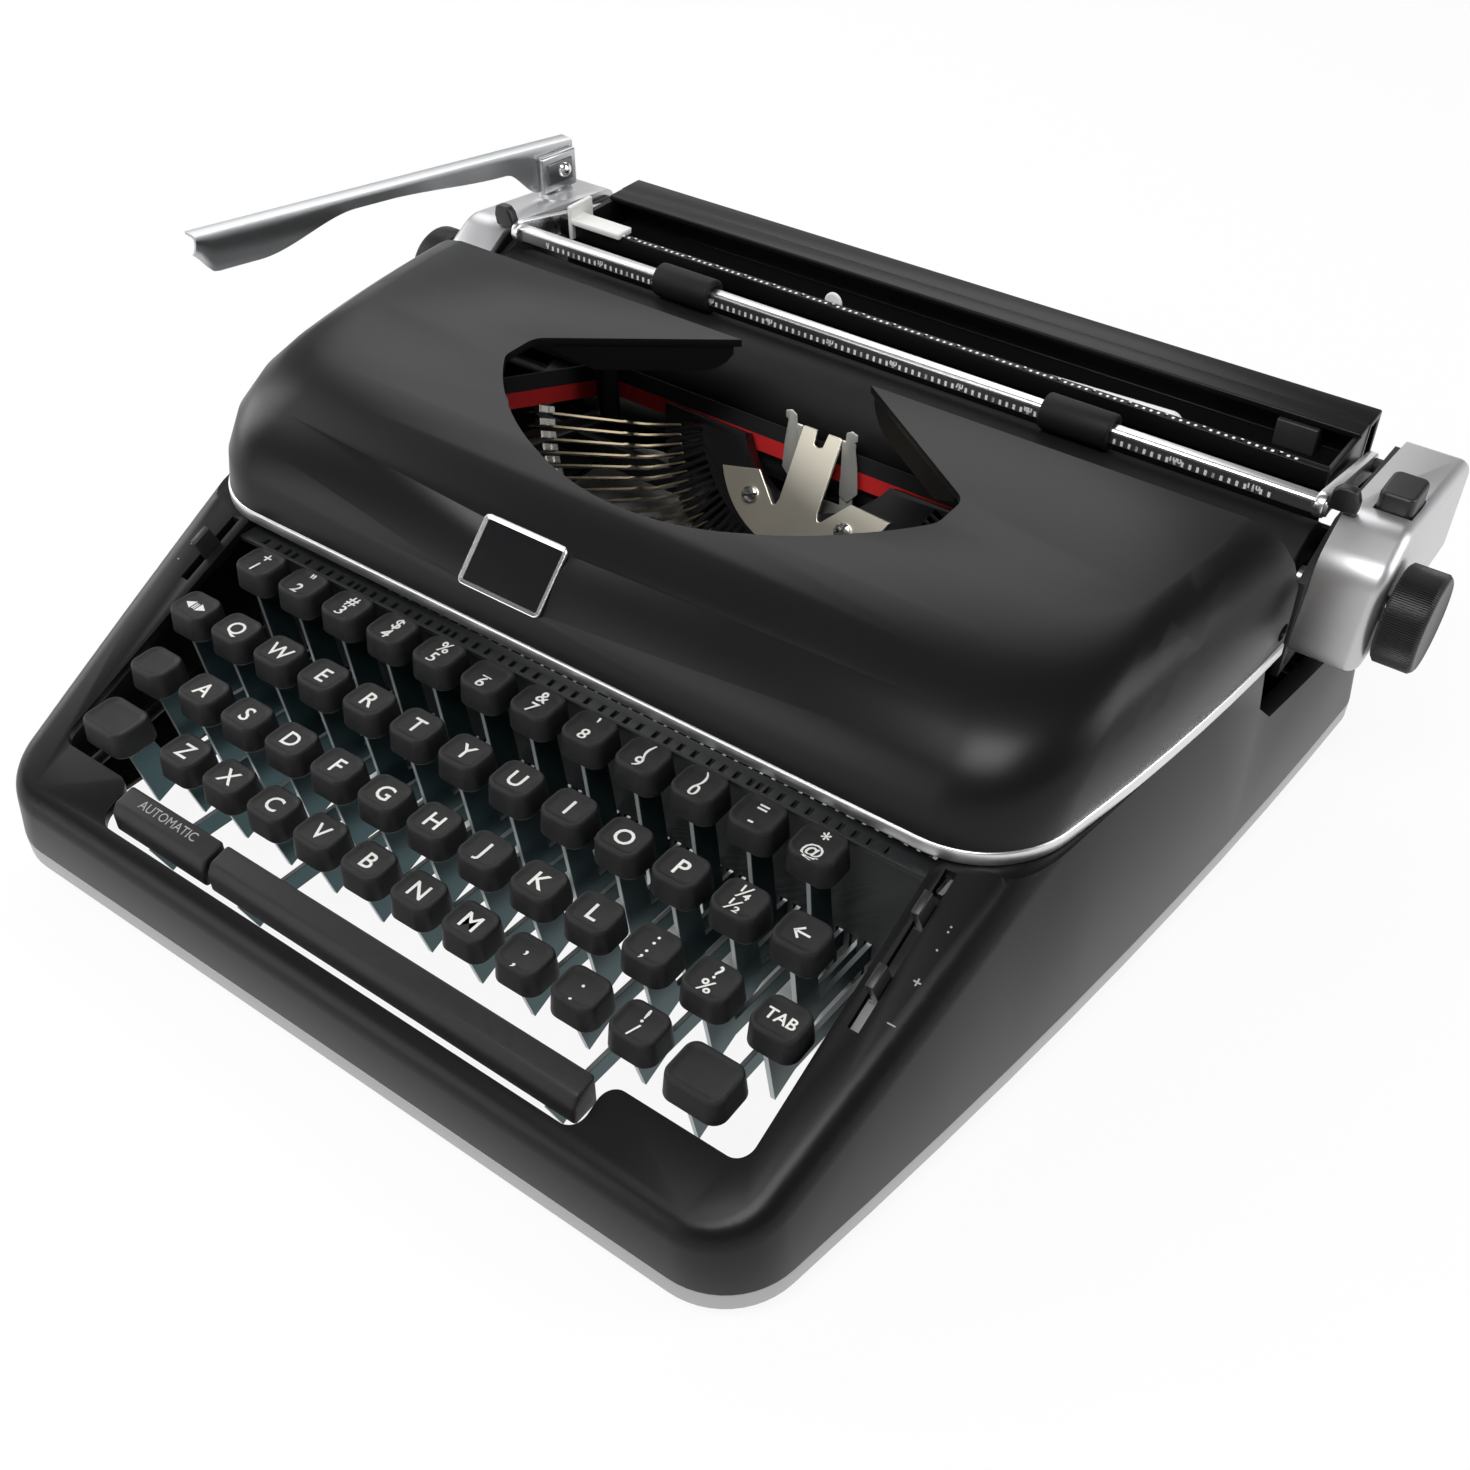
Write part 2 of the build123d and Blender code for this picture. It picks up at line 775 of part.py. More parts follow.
with BuildPart() as side_plates:
    with BuildSketch(Plane.YZ.offset(side_plate_x)):
        with BuildLine():
            Polyline(
                (side_plate_front_y, chassis_z),
                (side_plate_rear_y, chassis_z),
                (side_plate_rear_y, rail_seat_z),
                (side_step_y + side_step_run, rail_seat_z),
                (side_step_y, side_plate_z),
                (side_plate_front_y, side_plate_z),
                close=True,
            )
        make_face()
        with Locations((fulcrum_y, fulcrum_z)):
            Circle(fulcrum_radius, mode=Mode.SUBTRACT)
    extrude(amount=side_plate_thick)
    with BuildSketch(Plane.XY.offset(chassis_z)):
        with Locations((side_plate_x + side_plate_flange / 2, (side_plate_front_y + side_plate_rear_y) / 2)):
            Rectangle(side_plate_flange, side_plate_rear_y - side_plate_front_y)
        with Locations(*[(x, y) for x, y in screw_places if x > 0]):
            Circle(screw_radius, mode=Mode.SUBTRACT)
    extrude(amount=side_plate_thick)
    mirror(about=Plane.YZ)
save(side_plates, "side_plates")

with BuildPart() as chassis_screws:
    with BuildSketch(Plane.XY.offset(foot_height)):
        with Locations(*screw_places):
            Circle(screw_radius)
    extrude(amount=plate_thick + side_plate_thick)
    with BuildSketch(Plane.XY.offset(chassis_z + side_plate_thick)):
        with Locations(*screw_places):
            Circle(screw_head_radius)
    extrude(amount=screw_head_height)
save(chassis_screws, "chassis_screws")

with BuildPart() as key_fulcrum_rod:
    with BuildSketch(Plane.YZ.offset(-(side_plate_x + side_plate_thick))):
        with Locations((fulcrum_y, fulcrum_z)):
            Circle(fulcrum_radius)
    extrude(amount=2 * (side_plate_x + side_plate_thick))
save(key_fulcrum_rod, "key_fulcrum_rod")

with BuildPart() as key_comb:
    with BuildSketch(Plane.XZ.offset(-comb_y)):
        with Locations((0, (comb_low_z + comb_top_z) / 2)):
            Rectangle(2 * (well_half - seat_gap), comb_top_z - comb_low_z)
        with Locations((0, (comb_low_z + side_plate_z) / 2)):
            Rectangle(2 * (side_plate_x - seat_gap), side_plate_z - comb_low_z)
        with Locations(*[(x, (comb_slot_low_z + comb_slot_high_z) / 2) for x in lever_places]):
            Rectangle(comb_slot, comb_slot_high_z - comb_slot_low_z, mode=Mode.SUBTRACT)
    extrude(amount=-comb_thick)
    with BuildSketch(Plane.XY.offset(comb_top_z)):
        with Locations((0, comb_y - comb_shelf / 2)):
            Rectangle(2 * (well_half - seat_gap), comb_shelf)
        with Locations(*[(x, comb_y - comb_shelf / 2) for x in lever_places]):
            Rectangle(comb_notch, comb_notch_depth, mode=Mode.SUBTRACT)
    extrude(amount=-comb_thick)
save(key_comb, "key_comb")

tilt = math.radians(segment_tilt)
strike_normal = Vector(0, -math.cos(tilt), math.sin(tilt))
strike_up = Vector(0, math.sin(tilt), math.cos(tilt))
print_point = Vector(0, platen_y, platen_z) + strike_normal * (platen_radius + strike_gap)
basket_plane = Plane(print_point + strike_normal * plate_lift, x_dir=(1, 0, 0), z_dir=strike_normal)


def rod_plane(x, drop):
    """Plane across a guide rod of the basket, which lies behind the segment and parallel to it."""
    behind = strike_normal * (segment_set_back + segment_thick + rod_standoff)
    middle = basket_plane.origin - strike_up * drop - behind
    return Plane(middle + Vector(x, 0, 0), x_dir=(1, 0, 0), z_dir=strike_up)


with BuildPart() as front_crossmember:
    with BuildSketch(Plane.XY.offset(crossmember_low_z)):
        with Locations((0, crossmember_y + crossmember_thick / 2)):
            Rectangle(2 * side_plate_x, crossmember_thick)
    extrude(amount=crossmember_height)
    with BuildSketch(Plane.XY.offset(crossmember_low_z)):
        with Locations(*[(side * basket_rod_x, (rod_foot_y + crossmember_y) / 2) for side in (-1, 1)]):
            Rectangle(boss_width, crossmember_y - rod_foot_y)
    extrude(amount=rod_foot_height)
    for side in (-1, 1):
        with BuildSketch(rod_plane(side * basket_rod_x, basket_rod_low)):
            Circle(basket_rod_radius)
        extrude(amount=basket_rod_low - basket_rod_high)
save(front_crossmember, "front_crossmember")

with BuildPart() as carriage_rail:
    with BuildSketch(Plane.YZ.offset(-rail_half)):
        with Locations((rail_y, rail_seat_z + rail_height / 2)):
            Rectangle(rail_width, rail_height)
        with Locations(
            (rail_y - rail_width / 2, rail_seat_z + rail_height / 2),
            (rail_y + rail_width / 2, rail_seat_z + rail_height / 2),
        ):
            Circle(rail_groove, mode=Mode.SUBTRACT)
    extrude(amount=2 * rail_half)
save(carriage_rail, "carriage_rail")

# Type basket: slotted segment, nickel guide plate and the fan of typebars
bar_angles = [bar_span * (index / (bar_count - 1) - 0.5) - 90 for index in range(bar_count)]
strike_index = bar_count // 2

segment_top = slot_inner * math.cos(math.radians(bar_span / 2)) - segment_land

with BuildPart() as type_segment:
    with BuildSketch(basket_plane.offset(-segment_set_back)):
        Circle(segment_outer)
        Circle(segment_inner, mode=Mode.SUBTRACT)
        with Locations((0, segment_outer - segment_top)):
            Rectangle(2 * segment_outer, 2 * segment_outer, mode=Mode.SUBTRACT)
        for angle in bar_angles:
            with PolarLocations((slot_inner + segment_outer + bar_eye) / 2, 1, start_angle=angle):
                Rectangle(segment_outer + bar_eye - slot_inner, slot_width, mode=Mode.SUBTRACT)
    extrude(amount=-segment_thick)
    with BuildSketch(basket_plane.offset(-segment_set_back - segment_thick)):
        with Locations(*[(side * basket_rod_x, -(boss_low + boss_high) / 2) for side in (-1, 1)]):
            Rectangle(boss_width, boss_low - boss_high)
    extrude(amount=-boss_depth)
    for side in (-1, 1):
        with BuildSketch(rod_plane(side * basket_rod_x, basket_rod_low)):
            Circle(basket_rod_radius + running_gap)
        extrude(amount=basket_rod_low - basket_rod_high + boss_width, mode=Mode.SUBTRACT)
save(type_segment, "type_segment")

tongue_root = guide_centre_drop + (guide_window_radius + guide_radius) / 2
with BuildPart() as type_guide:
    with BuildSketch(basket_plane.offset(-segment_set_back)):
        with Locations((0, -guide_centre_drop)):
            Circle(guide_radius)
        with Locations((0, guide_radius - guide_ear_drop)):
            Rectangle(2 * guide_radius, 2 * guide_radius, mode=Mode.SUBTRACT)
        with Locations((0, -guide_centre_drop)):
            Circle(guide_window_radius, mode=Mode.SUBTRACT)
        with Locations((0, -(guide_tongue_drop + tongue_root) / 2)):
            Rectangle(2 * guide_tongue_half, tongue_root - guide_tongue_drop)
        with BuildLine():
            Polyline(
                (-guide_tongue_half / 2, -guide_tongue_drop),
                (guide_tongue_half / 2, -guide_tongue_drop),
                (0, -guide_tongue_drop - guide_tongue_half),
                close=True,
            )
        make_face(mode=Mode.SUBTRACT)
    extrude(amount=guide_thick)
save(type_guide, "type_guide")


def typebar(angle, lean):
    """One typebar at a place round the segment, leaning back from its striking line by an angle."""
    inward = basket_plane.x_dir * -math.cos(math.radians(angle)) - strike_up * math.sin(math.radians(angle))
    pivot = basket_plane.origin - inward * bar_length - strike_normal * bar_pivot_depth
    turn = math.radians(lean)
    along = inward * math.cos(turn) + strike_normal * math.sin(turn)
    front = strike_normal * math.cos(turn) - inward * math.sin(turn)
    side_plane = Plane(pivot, x_dir=along, z_dir=along.cross(front))
    face = bar_pivot_depth - plate_lift
    with BuildPart() as bar:
        with BuildSketch(side_plane.offset(-bar_thick / 2)):
            with BuildLine():
                Polyline(
                    (0, -bar_eye),
                    (bar_bend, bar_standoff - bar_width / 2),
                    (bar_length, bar_standoff - bar_width / 2),
                    (bar_length, bar_standoff + bar_width / 2),
                    (bar_bend - bar_width / 2, bar_standoff + bar_width / 2),
                    (-bar_eye, 0),
                    close=True,
                )
            make_face()
            Circle(bar_eye)
        extrude(amount=bar_thick)
        with BuildSketch(side_plane.offset(-slug_width / 2)):
            with Locations((bar_length, (face + bar_standoff + slug_back) / 2)):
                Rectangle(slug_length, bar_standoff + slug_back - face)
        extrude(amount=slug_width)
    return bar.part


with BuildPart() as typebars:
    for index, angle in enumerate(bar_angles):
        if index != strike_index:
            add(typebar(angle, bar_rest_angle))
save(typebars, "typebars")

with BuildPart() as strike_typebar:
    add(typebar(bar_angles[strike_index], bar_rest_angle))
save(strike_typebar, "strike_typebar")

vibrator_y = crossmember_y + crossmember_thick + running_gap
with BuildPart() as ribbon_vibrator:
    with BuildSketch(Plane.XZ.offset(-vibrator_y)):
        with Locations((0, (vibrator_low_z + vibrator_top_z) / 2)):
            Rectangle(2 * vibrator_half, vibrator_top_z - vibrator_low_z)
        with Locations((0, (vibrator_fork_z + vibrator_top_z) / 2)):
            Rectangle(
                2 * (vibrator_half - vibrator_finger), vibrator_top_z - vibrator_fork_z, mode=Mode.SUBTRACT
            )
    extrude(amount=-vibrator_thick)
save(ribbon_vibrator, "ribbon_vibrator")

# Ribbon: cups and spools on the side plates, posts and the woven band between them
cup_floor_z = side_plate_z + cup_wall
with BuildPart() as spool_cups:
    with BuildSketch(Plane.XY.offset(side_plate_z)):
        with Locations((spool_x, spool_y)):
            Circle(cup_radius)
        with BuildLine():
            Polyline(
                (post_x - post_radius, post_y),
                (post_x + post_radius, post_y),
                (spool_x, spool_y),
                (spool_x - cup_radius / 2, spool_y),
                close=True,
            )
        make_face()
        with Locations((post_x, post_y)):
            Circle(post_radius)
    extrude(amount=cup_wall)
    with BuildSketch(Plane.XY.offset(side_plate_z)):
        with Locations((spool_x, spool_y)):
            Circle(cup_radius)
            Circle(cup_radius - cup_wall, mode=Mode.SUBTRACT)
    extrude(amount=cup_height)
    with BuildSketch(Plane.XY.offset(cup_floor_z)):
        with Locations((spool_x, spool_y)):
            Circle(spindle_radius)
        with Locations((post_x, post_y)):
            Circle(post_radius)
    extrude(amount=post_rise)
    mirror(about=Plane.YZ)
save(spool_cups, "spool_cups")

for name, x in (("left_spool", -spool_x), ("right_spool", spool_x)):
    with BuildPart() as spool:
        for low_z, radius, height in (
            (cup_floor_z + running_gap, wound_radius, ribbon_z + ribbon_width - cup_floor_z),
            (ribbon_z - spool_flange - running_gap, spool_radius, spool_flange),
            (ribbon_z + ribbon_width + running_gap, spool_radius, spool_flange),
        ):
            with BuildSketch(Plane.XY.offset(low_z)):
                with Locations((x, spool_y)):
                    Circle(radius)
                    Circle(spindle_radius + running_gap, mode=Mode.SUBTRACT)
            extrude(amount=height)
    save(spool, name)

# The band leaves the outer side of each wound spool and turns round the back of its post
band_radius = post_radius + running_gap + ribbon_thick / 2
roll_radius = wound_radius + running_gap + ribbon_thick / 2
reach = Vector(post_x - spool_x, post_y - spool_y)
lead = (roll_radius - band_radius) / reach.length
ahead = reach.normalized()
aside = Vector(-ahead.Y, ahead.X) * -1
tangent = ahead * lead + aside * math.sqrt(1 - lead**2)
roll_point = Vector(spool_x, spool_y) + tangent * roll_radius
turn_point = Vector(post_x, post_y) + tangent * band_radius
turn_middle = Vector(post_x, post_y) + (tangent + Vector(0, 1)).normalized() * band_radius
back_point = Vector(post_x, post_y + band_radius)

with BuildPart() as ribbon:
    with BuildSketch(Plane.XY.offset(ribbon_z)):
        with BuildLine():
            Line(roll_point, turn_point)
            ThreePointArc(turn_point, turn_middle, back_point)
            Line(back_point, (-back_point.X, back_point.Y))
            ThreePointArc(
                (-back_point.X, back_point.Y), (-turn_middle.X, turn_middle.Y), (-turn_point.X, turn_point.Y)
            )
            Line((-turn_point.X, turn_point.Y), (-roll_point.X, roll_point.Y))
        trace(line_width=ribbon_thick)
    extrude(amount=ribbon_width)
save(ribbon, "ribbon")

# Carriage: channel and end plates on the rail, with the platen, rollers, table and end covers
beam_z = rail_seat_z + rail_height + running_gap
beam_half = end_inner_x - end_plate_thick
lip_inner = rail_width / 2 + running_gap
feed_distance = platen_radius + feed_radius + feed_gap
feed_drop = feed_distance * math.cos(math.radians(feed_spread))
feed_shift = feed_distance * math.sin(math.radians(feed_spread))
feed_places = {
    "front_feed_roller": (platen_y - feed_shift, platen_z - feed_drop),
    "rear_feed_roller": (platen_y + feed_shift, platen_z - feed_drop),
}

with BuildPart() as carriage_frame:
    with BuildSketch(Plane.YZ.offset(-beam_half)):
        with Locations((rail_y, beam_z + beam_thick / 2)):
            Rectangle(2 * (lip_inner + beam_thick), beam_thick)
        for side in (-1, 1):
            lip_y = rail_y + side * (lip_inner + beam_thick / 2)
            with Locations((lip_y, (beam_low_z + beam_z + beam_thick) / 2)):
                Rectangle(beam_thick, beam_z + beam_thick - beam_low_z)
    extrude(amount=2 * beam_half)
    with BuildSketch(Plane.YZ.offset(beam_half)):
        with BuildLine():
            Polyline(
                (platen_y - platen_radius, beam_z),
                (end_rear_y - 2 * end_wall, beam_z),
                (end_rear_y - 2 * end_wall, end_plate_top_z - end_wall),
                (platen_y + platen_radius / 2, end_plate_top_z),
                (platen_y - platen_radius + end_wall, platen_z + platen_radius / 2),
                close=True,
            )
        make_face()
        with Locations((platen_y, platen_z)):
            Circle(shaft_radius + running_gap, mode=Mode.SUBTRACT)
        with Locations(*feed_places.values()):
            Circle(feed_journal + running_gap, mode=Mode.SUBTRACT)
    extrude(amount=end_plate_thick)
    with BuildSketch(Plane.YZ.offset(bail_arm_x - running_gap)):
        with Locations((bail_pivot_y, bail_pivot_z)):
            Circle(bail_pin_radius)
    extrude(amount=beam_half - bail_arm_x + running_gap)
    mirror(about=Plane.YZ)
save(carriage_frame, "carriage_frame")

with BuildPart() as platen:
    with BuildSketch(Plane.YZ.offset(-platen_half)):
        with Locations((platen_y, platen_z)):
            Circle(platen_radius)
            Circle(shaft_radius, mode=Mode.SUBTRACT)
    extrude(amount=2 * platen_half)
save(platen, "platen")

shaft_half = knob_outer_x - knob_width / 2
with BuildPart() as platen_shaft:
    with BuildSketch(Plane.YZ.offset(-shaft_half)):
        with Locations((platen_y, platen_z)):
            Circle(shaft_radius)
    extrude(amount=2 * shaft_half)
save(platen_shaft, "platen_shaft")

with BuildPart() as platen_knobs:
    with BuildSketch(Plane.YZ.offset(knob_outer_x - knob_width)):
        with Locations((platen_y, platen_z)):
            Circle(knob_radius)
            with PolarLocations(knob_radius, knob_flutes):
                Circle(flute_radius, mode=Mode.SUBTRACT)
    extrude(amount=knob_width - knob_rim)
    with BuildSketch(Plane.YZ.offset(knob_outer_x - knob_rim)):
        with Locations((platen_y, platen_z)):
            Circle(knob_radius - flute_radius)
    extrude(amount=knob_rim, taper=knob_taper)
    with BuildSketch(Plane.YZ.offset(knob_outer_x - knob_width)):
        with Locations((platen_y, platen_z)):
            Circle(shaft_radius)
    extrude(amount=shaft_half - knob_outer_x + knob_width, mode=Mode.SUBTRACT)
    mirror(about=Plane.YZ)
save(platen_knobs, "platen_knobs")

for name, (y, z) in feed_places.items():
    with BuildPart() as roller:
        for half, radius in ((feed_half, feed_radius), (end_inner_x, feed_journal)):
            with BuildSketch(Plane.YZ.offset(-half)):
                with Locations((y, z)):
                    Circle(radius)
            extrude(amount=2 * half)
    save(roller, name)

# Paper table: a pressed sheet with a trough behind the scale and a flat panel at the rear
trough_front_y = table_front_y + table_thick
panel_y = trough_front_y + trough_width
table_middle_z = (table_low_z + table_step_z) / 2
with BuildPart() as paper_table:
    with BuildSketch(Plane.YZ.offset(-table_half)):
        with BuildLine():
            Polyline(
                (table_front_y, table_wall_low_z),
                (trough_front_y, table_wall_low_z),
                (trough_front_y, trough_z),
                (panel_y + table_thick, trough_z),
                (panel_y + table_thick, table_z - table_thick),
                (rear_y - table_thick, table_z - table_thick),
                (rear_y - table_thick, table_low_z),
                (rear_y, table_low_z),
                (rear_y, table_z),
                (panel_y, table_z),
                (panel_y, trough_z + table_thick),
                (trough_front_y, trough_z + table_thick),
                (trough_front_y, table_wall_z),
                (table_front_y, table_wall_z),
                close=True,
            )
        make_face()
    extrude(amount=2 * table_half)
    with BuildSketch(Plane.YZ.offset(-table_low_half)):
        with Locations((table_front_y + table_thick / 2, (table_wall_low_z + table_step_z) / 2)):
            Rectangle(table_thick, table_step_z - table_wall_low_z)
        with Locations((rear_y - table_thick / 2, table_middle_z)):
            Rectangle(table_thick, table_step_z - table_low_z)
    extrude(amount=2 * table_low_half)
save(paper_table, "paper_table")

with BuildPart() as paper_rest_bar:
    with BuildSketch(Plane.YZ.offset(-table_half)):
        with Locations((table_front_y - rest_bar_thick / 2, rest_bar_low_z + rest_bar_height / 2)):
            Rectangle(rest_bar_thick, rest_bar_height)
    extrude(amount=2 * table_half)
save(paper_rest_bar, "paper_rest_bar")

with BuildPart() as paper_bail:
    with BuildSketch(Plane.YZ.offset(-bail_half)):
        with Locations((bail_y, bail_z)):
            Circle(bail_radius)
    extrude(amount=2 * bail_half)
    for side in (-1, 1):
        inner_x = side * (bail_arm_x + bail_arm_thick / 2) - bail_arm_thick / 2
        with BuildSketch(Plane.YZ.offset(inner_x)):
            with Locations((bail_y, bail_z), (bail_pivot_y, bail_pivot_z)):
                Circle(bail_arm_width / 2)
            with BuildLine():
                Polyline(
                    (bail_y, bail_z - bail_arm_width / 2),
                    (bail_pivot_y, bail_pivot_z - bail_arm_width / 2),
                    (bail_pivot_y, bail_pivot_z + bail_arm_width / 2),
                    (bail_y, bail_z + bail_arm_width / 2),
                    close=True,
                )
            make_face()
            with Locations((bail_pivot_y, bail_pivot_z)):
                Circle(bail_pin_radius + running_gap, mode=Mode.SUBTRACT)
        extrude(amount=bail_arm_thick)
    with BuildSketch(Plane.XY.offset(bail_tab_z)):
        for side in (-1, 1):
            with Locations((side * (bail_arm_x + bail_tab_width / 2), bail_y)):
                RectangleRounded(bail_tab_width, bail_tab_depth, bail_ear_thick / 3)
    extrude(amount=bail_tab_thick)
    with BuildSketch(Plane.XY.offset(bail_tab_z)):
        for side in (-1, 1):
            with Locations((side * (bail_arm_x + bail_tab_width - bail_ear_thick / 2), bail_y)):
                RectangleRounded(bail_ear_thick, bail_tab_depth, bail_ear_thick / 3)
    extrude(amount=bail_ear_height)
save(paper_bail, "paper_bail")

with BuildPart() as bail_rollers:
    for x in (-bail_roller_x, bail_roller_x):
        with BuildSketch(Plane.YZ.offset(x - bail_roller_length / 2)):
            with Locations((bail_y, bail_z)):
                Circle(bail_roller_radius)
                Circle(bail_radius + running_gap, mode=Mode.SUBTRACT)
        extrude(amount=bail_roller_length)
save(bail_rollers, "bail_rollers")

# End covers: hollow caps over the ends of the carriage, rounded towards the front
cover_brow_z = platen_z + platen_radius - end_wall
cover_brow_y = end_front_y + 4 * end_wall
cover_crown_y = cover_brow_y + platen_radius - end_wall


def end_cover_outline(inset):
    """Side view of an end cover."""
    with BuildSketch() as outline:
        with BuildLine():
            Polyline(
                (end_front_y + end_wall, end_low_z),
                (cover_brow_y, cover_brow_z),
                (cover_crown_y, cover_crown_z),
                (end_rear_y, cover_tail_z),
                (end_rear_y, end_low_z),
                close=True,
            )
        make_face()
        rear = outline.vertices().filter_by(lambda v: v.X > end_rear_y - seat_gap)
        fillet(rear, end_corner)
        chin = outline.vertices().filter_by(lambda v: v.X < platen_y and v.Y < end_low_z + seat_gap)
        fillet(chin, end_corner)
        brow = outline.vertices().filter_by(lambda v: v.X < cover_crown_y + seat_gap and v.Y > platen_z)
        fillet(brow, brow_round)
        if inset:
            offset(amount=-inset)
    return outline.sketch


def end_cover(side):
    """One cap: outline shelled from the inner side, with the hole for the platen shaft."""
    with BuildPart() as cap:
        with BuildSketch(Plane.YZ.offset(end_inner_x)):
            add(end_cover_outline(0))
        extrude(amount=end_outer_x - end_inner_x)
        fillet(cap.faces().sort_by(Axis.X)[-1].edges(), end_edge_round)
        with BuildSketch(Plane.YZ.offset(end_inner_x)):
            add(end_cover_outline(end_wall))
        extrude(amount=end_outer_x - end_inner_x - end_wall, mode=Mode.SUBTRACT)
        with BuildSketch(Plane.YZ.offset(end_inner_x)):
            with Locations((platen_y, platen_z)):
                Circle(shaft_radius + 2 * running_gap)
        extrude(amount=end_outer_x - end_inner_x, mode=Mode.SUBTRACT)
        if side < 0:
            mirror(about=Plane.YZ, mode=Mode.REPLACE)
    return cap.part


with BuildPart() as left_end_cover:
    add(end_cover(-1))
    with BuildSketch(Plane.XY.offset(cover_tail_z)):
        with Locations((lever_pivot_x, lever_pivot_y)):
            Circle(lever_hub_radius)
    extrude(amount=lever_hub_low_z - running_gap - cover_tail_z)
    with BuildSketch(Plane.XY.offset(cover_tail_z)):
        with Locations((lever_pivot_x, lever_pivot_y)):
            Circle(lever_pin_radius)
    extrude(amount=lever_hub_top_z + running_gap - cover_tail_z)
    with BuildSketch(Plane.XY.offset(lever_hub_top_z + running_gap)):
        with Locations((lever_pivot_x, lever_pivot_y)):
            Circle(lever_head_radius)
    extrude(amount=lever_head_height)
save(left_end_cover, "left_end_cover")

with BuildPart() as right_end_cover:
    add(end_cover(1))
    with BuildSketch(Plane.XY.offset(end_low_z + 2 * end_wall)):
        with Locations((release_x, release_y)):
            Rectangle(release_width + 2 * running_gap, release_depth + 2 * running_gap)
    extrude(amount=release_top_z - end_low_z, mode=Mode.SUBTRACT)
save(right_end_cover, "right_end_cover")

with BuildPart() as carriage_release:
    with BuildSketch(Plane.XY.offset(release_low_z)):
        with Locations((release_x, release_y)):
            RectangleRounded(release_width, release_depth, end_wall)
    extrude(amount=release_top_z - release_low_z)
    fillet(carriage_release.faces().sort_by(Axis.Z)[-1].edges(), end_wall / 2)
save(carriage_release, "carriage_release")

# Return lever: folded sheet that climbs forward from its hub to a paddle over the cover
lever_reach = Vector(lever_tip_x - lever_pivot_x, lever_tip_y - lever_pivot_y)
lever_plane = Plane(
    (lever_pivot_x, lever_pivot_y, 0), x_dir=lever_reach, z_dir=lever_reach.cross(Vector(0, 0, 1))
)
paddle_root = lever_reach.length - paddle_length
lever_rise = (lever_tip_z - lever_hub_top_z) / (lever_reach.length - lever_hub_radius)
lever_root_low = lever_hub_low_z + lever_hub_radius
paddle_heel_z = lever_hub_top_z + lever_rise * paddle_root - lever_hub_radius
with BuildPart() as return_lever:
    with BuildSketch(Plane.XY.offset(lever_hub_low_z)):
        with Locations((lever_pivot_x, lever_pivot_y)):
            Circle(lever_hub_radius)
    extrude(amount=lever_hub_top_z - lever_hub_low_z)
    with BuildSketch(lever_plane.offset(-lever_sheet / 2)):
        with BuildLine():
            Polyline(
                (0, lever_hub_top_z - lever_sheet),
                (lever_hub_radius, lever_hub_top_z),
                (lever_reach.length - lever_flange, lever_tip_z - lever_rise * lever_flange),
                (lever_reach.length, lever_tip_z - lever_flange),
                (lever_reach.length - lever_flange / 2, paddle_low_z),
                (paddle_root + paddle_length / 4, paddle_low_z),
                (paddle_root - paddle_length / 4, paddle_heel_z),
                (lever_hub_radius, lever_root_low),
                (0, lever_root_low),
                close=True,
            )
        make_face()
    extrude(amount=lever_sheet)
    with BuildSketch(lever_plane.offset(-lever_sheet / 2)):
        with BuildLine():
            Polyline(
                (lever_hub_radius, lever_hub_top_z),
                (paddle_root, lever_hub_top_z + lever_rise * (paddle_root - lever_hub_radius)),
                (paddle_root, lever_hub_top_z + lever_rise * (paddle_root - lever_hub_radius) - lever_sheet),
                (lever_hub_radius, lever_hub_top_z - lever_sheet),
                close=True,
            )
        make_face()
    extrude(amount=lever_flange)
    with BuildSketch(Plane.XY):
        with Locations((lever_pivot_x, lever_pivot_y)):
            Circle(lever_pin_radius + running_gap)
    extrude(amount=lever_tip_z, mode=Mode.SUBTRACT)
save(return_lever, "return_lever")

# Paper guide that slides on the scale bar, and the arm that swings up out of the trough
guide_front_y = table_front_y - rest_bar_thick - running_gap - paper_guide_wall
guide_seat_z = rest_bar_low_z + rest_bar_height + running_gap
with BuildPart() as paper_guide:
    with BuildSketch(Plane.YZ.offset(paper_guide_x)):
        with BuildLine():
            Polyline(
                (guide_front_y, rest_bar_low_z),
                (guide_front_y + paper_guide_wall, rest_bar_low_z),
                (guide_front_y + paper_guide_wall, guide_seat_z),
                (table_front_y + running_gap, guide_seat_z),
                (table_front_y + running_gap, table_wall_z + running_gap),
                (trough_front_y, table_wall_z + running_gap),
                (trough_front_y + paper_guide_wall, guide_seat_z + paper_guide_rise),
                (trough_front_y - paper_guide_wall, guide_seat_z + paper_guide_rise),
                (table_front_y, guide_seat_z + paper_guide_wall),
                (guide_front_y, guide_seat_z + paper_guide_wall),
                close=True,
            )
        make_face()
    extrude(amount=paper_guide_width)
save(paper_guide, "paper_guide")

support_y = trough_front_y + support_set
with BuildPart() as paper_support:
    with BuildSketch(Plane.XZ.offset(-(support_y - support_thick / 2))):
        with BuildLine():
            Polyline(
                (support_pivot_x, support_z - support_root),
                (support_pivot_x, support_z + support_root),
                (support_pivot_x - support_length, support_z + support_tip),
                (support_pivot_x - support_length, support_z - support_tip),
                close=True,
            )
        make_face()
        with Locations((support_pivot_x, support_z)):
            Circle(support_root)
    extrude(amount=-support_thick)
    with BuildSketch(Plane.XZ.offset(-(trough_front_y + running_gap))):
        with Locations((support_pivot_x, support_z)):
            Circle(support_pin_radius)
    extrude(amount=-(support_set + support_thick / 2 - running_gap))
save(paper_support, "paper_support")

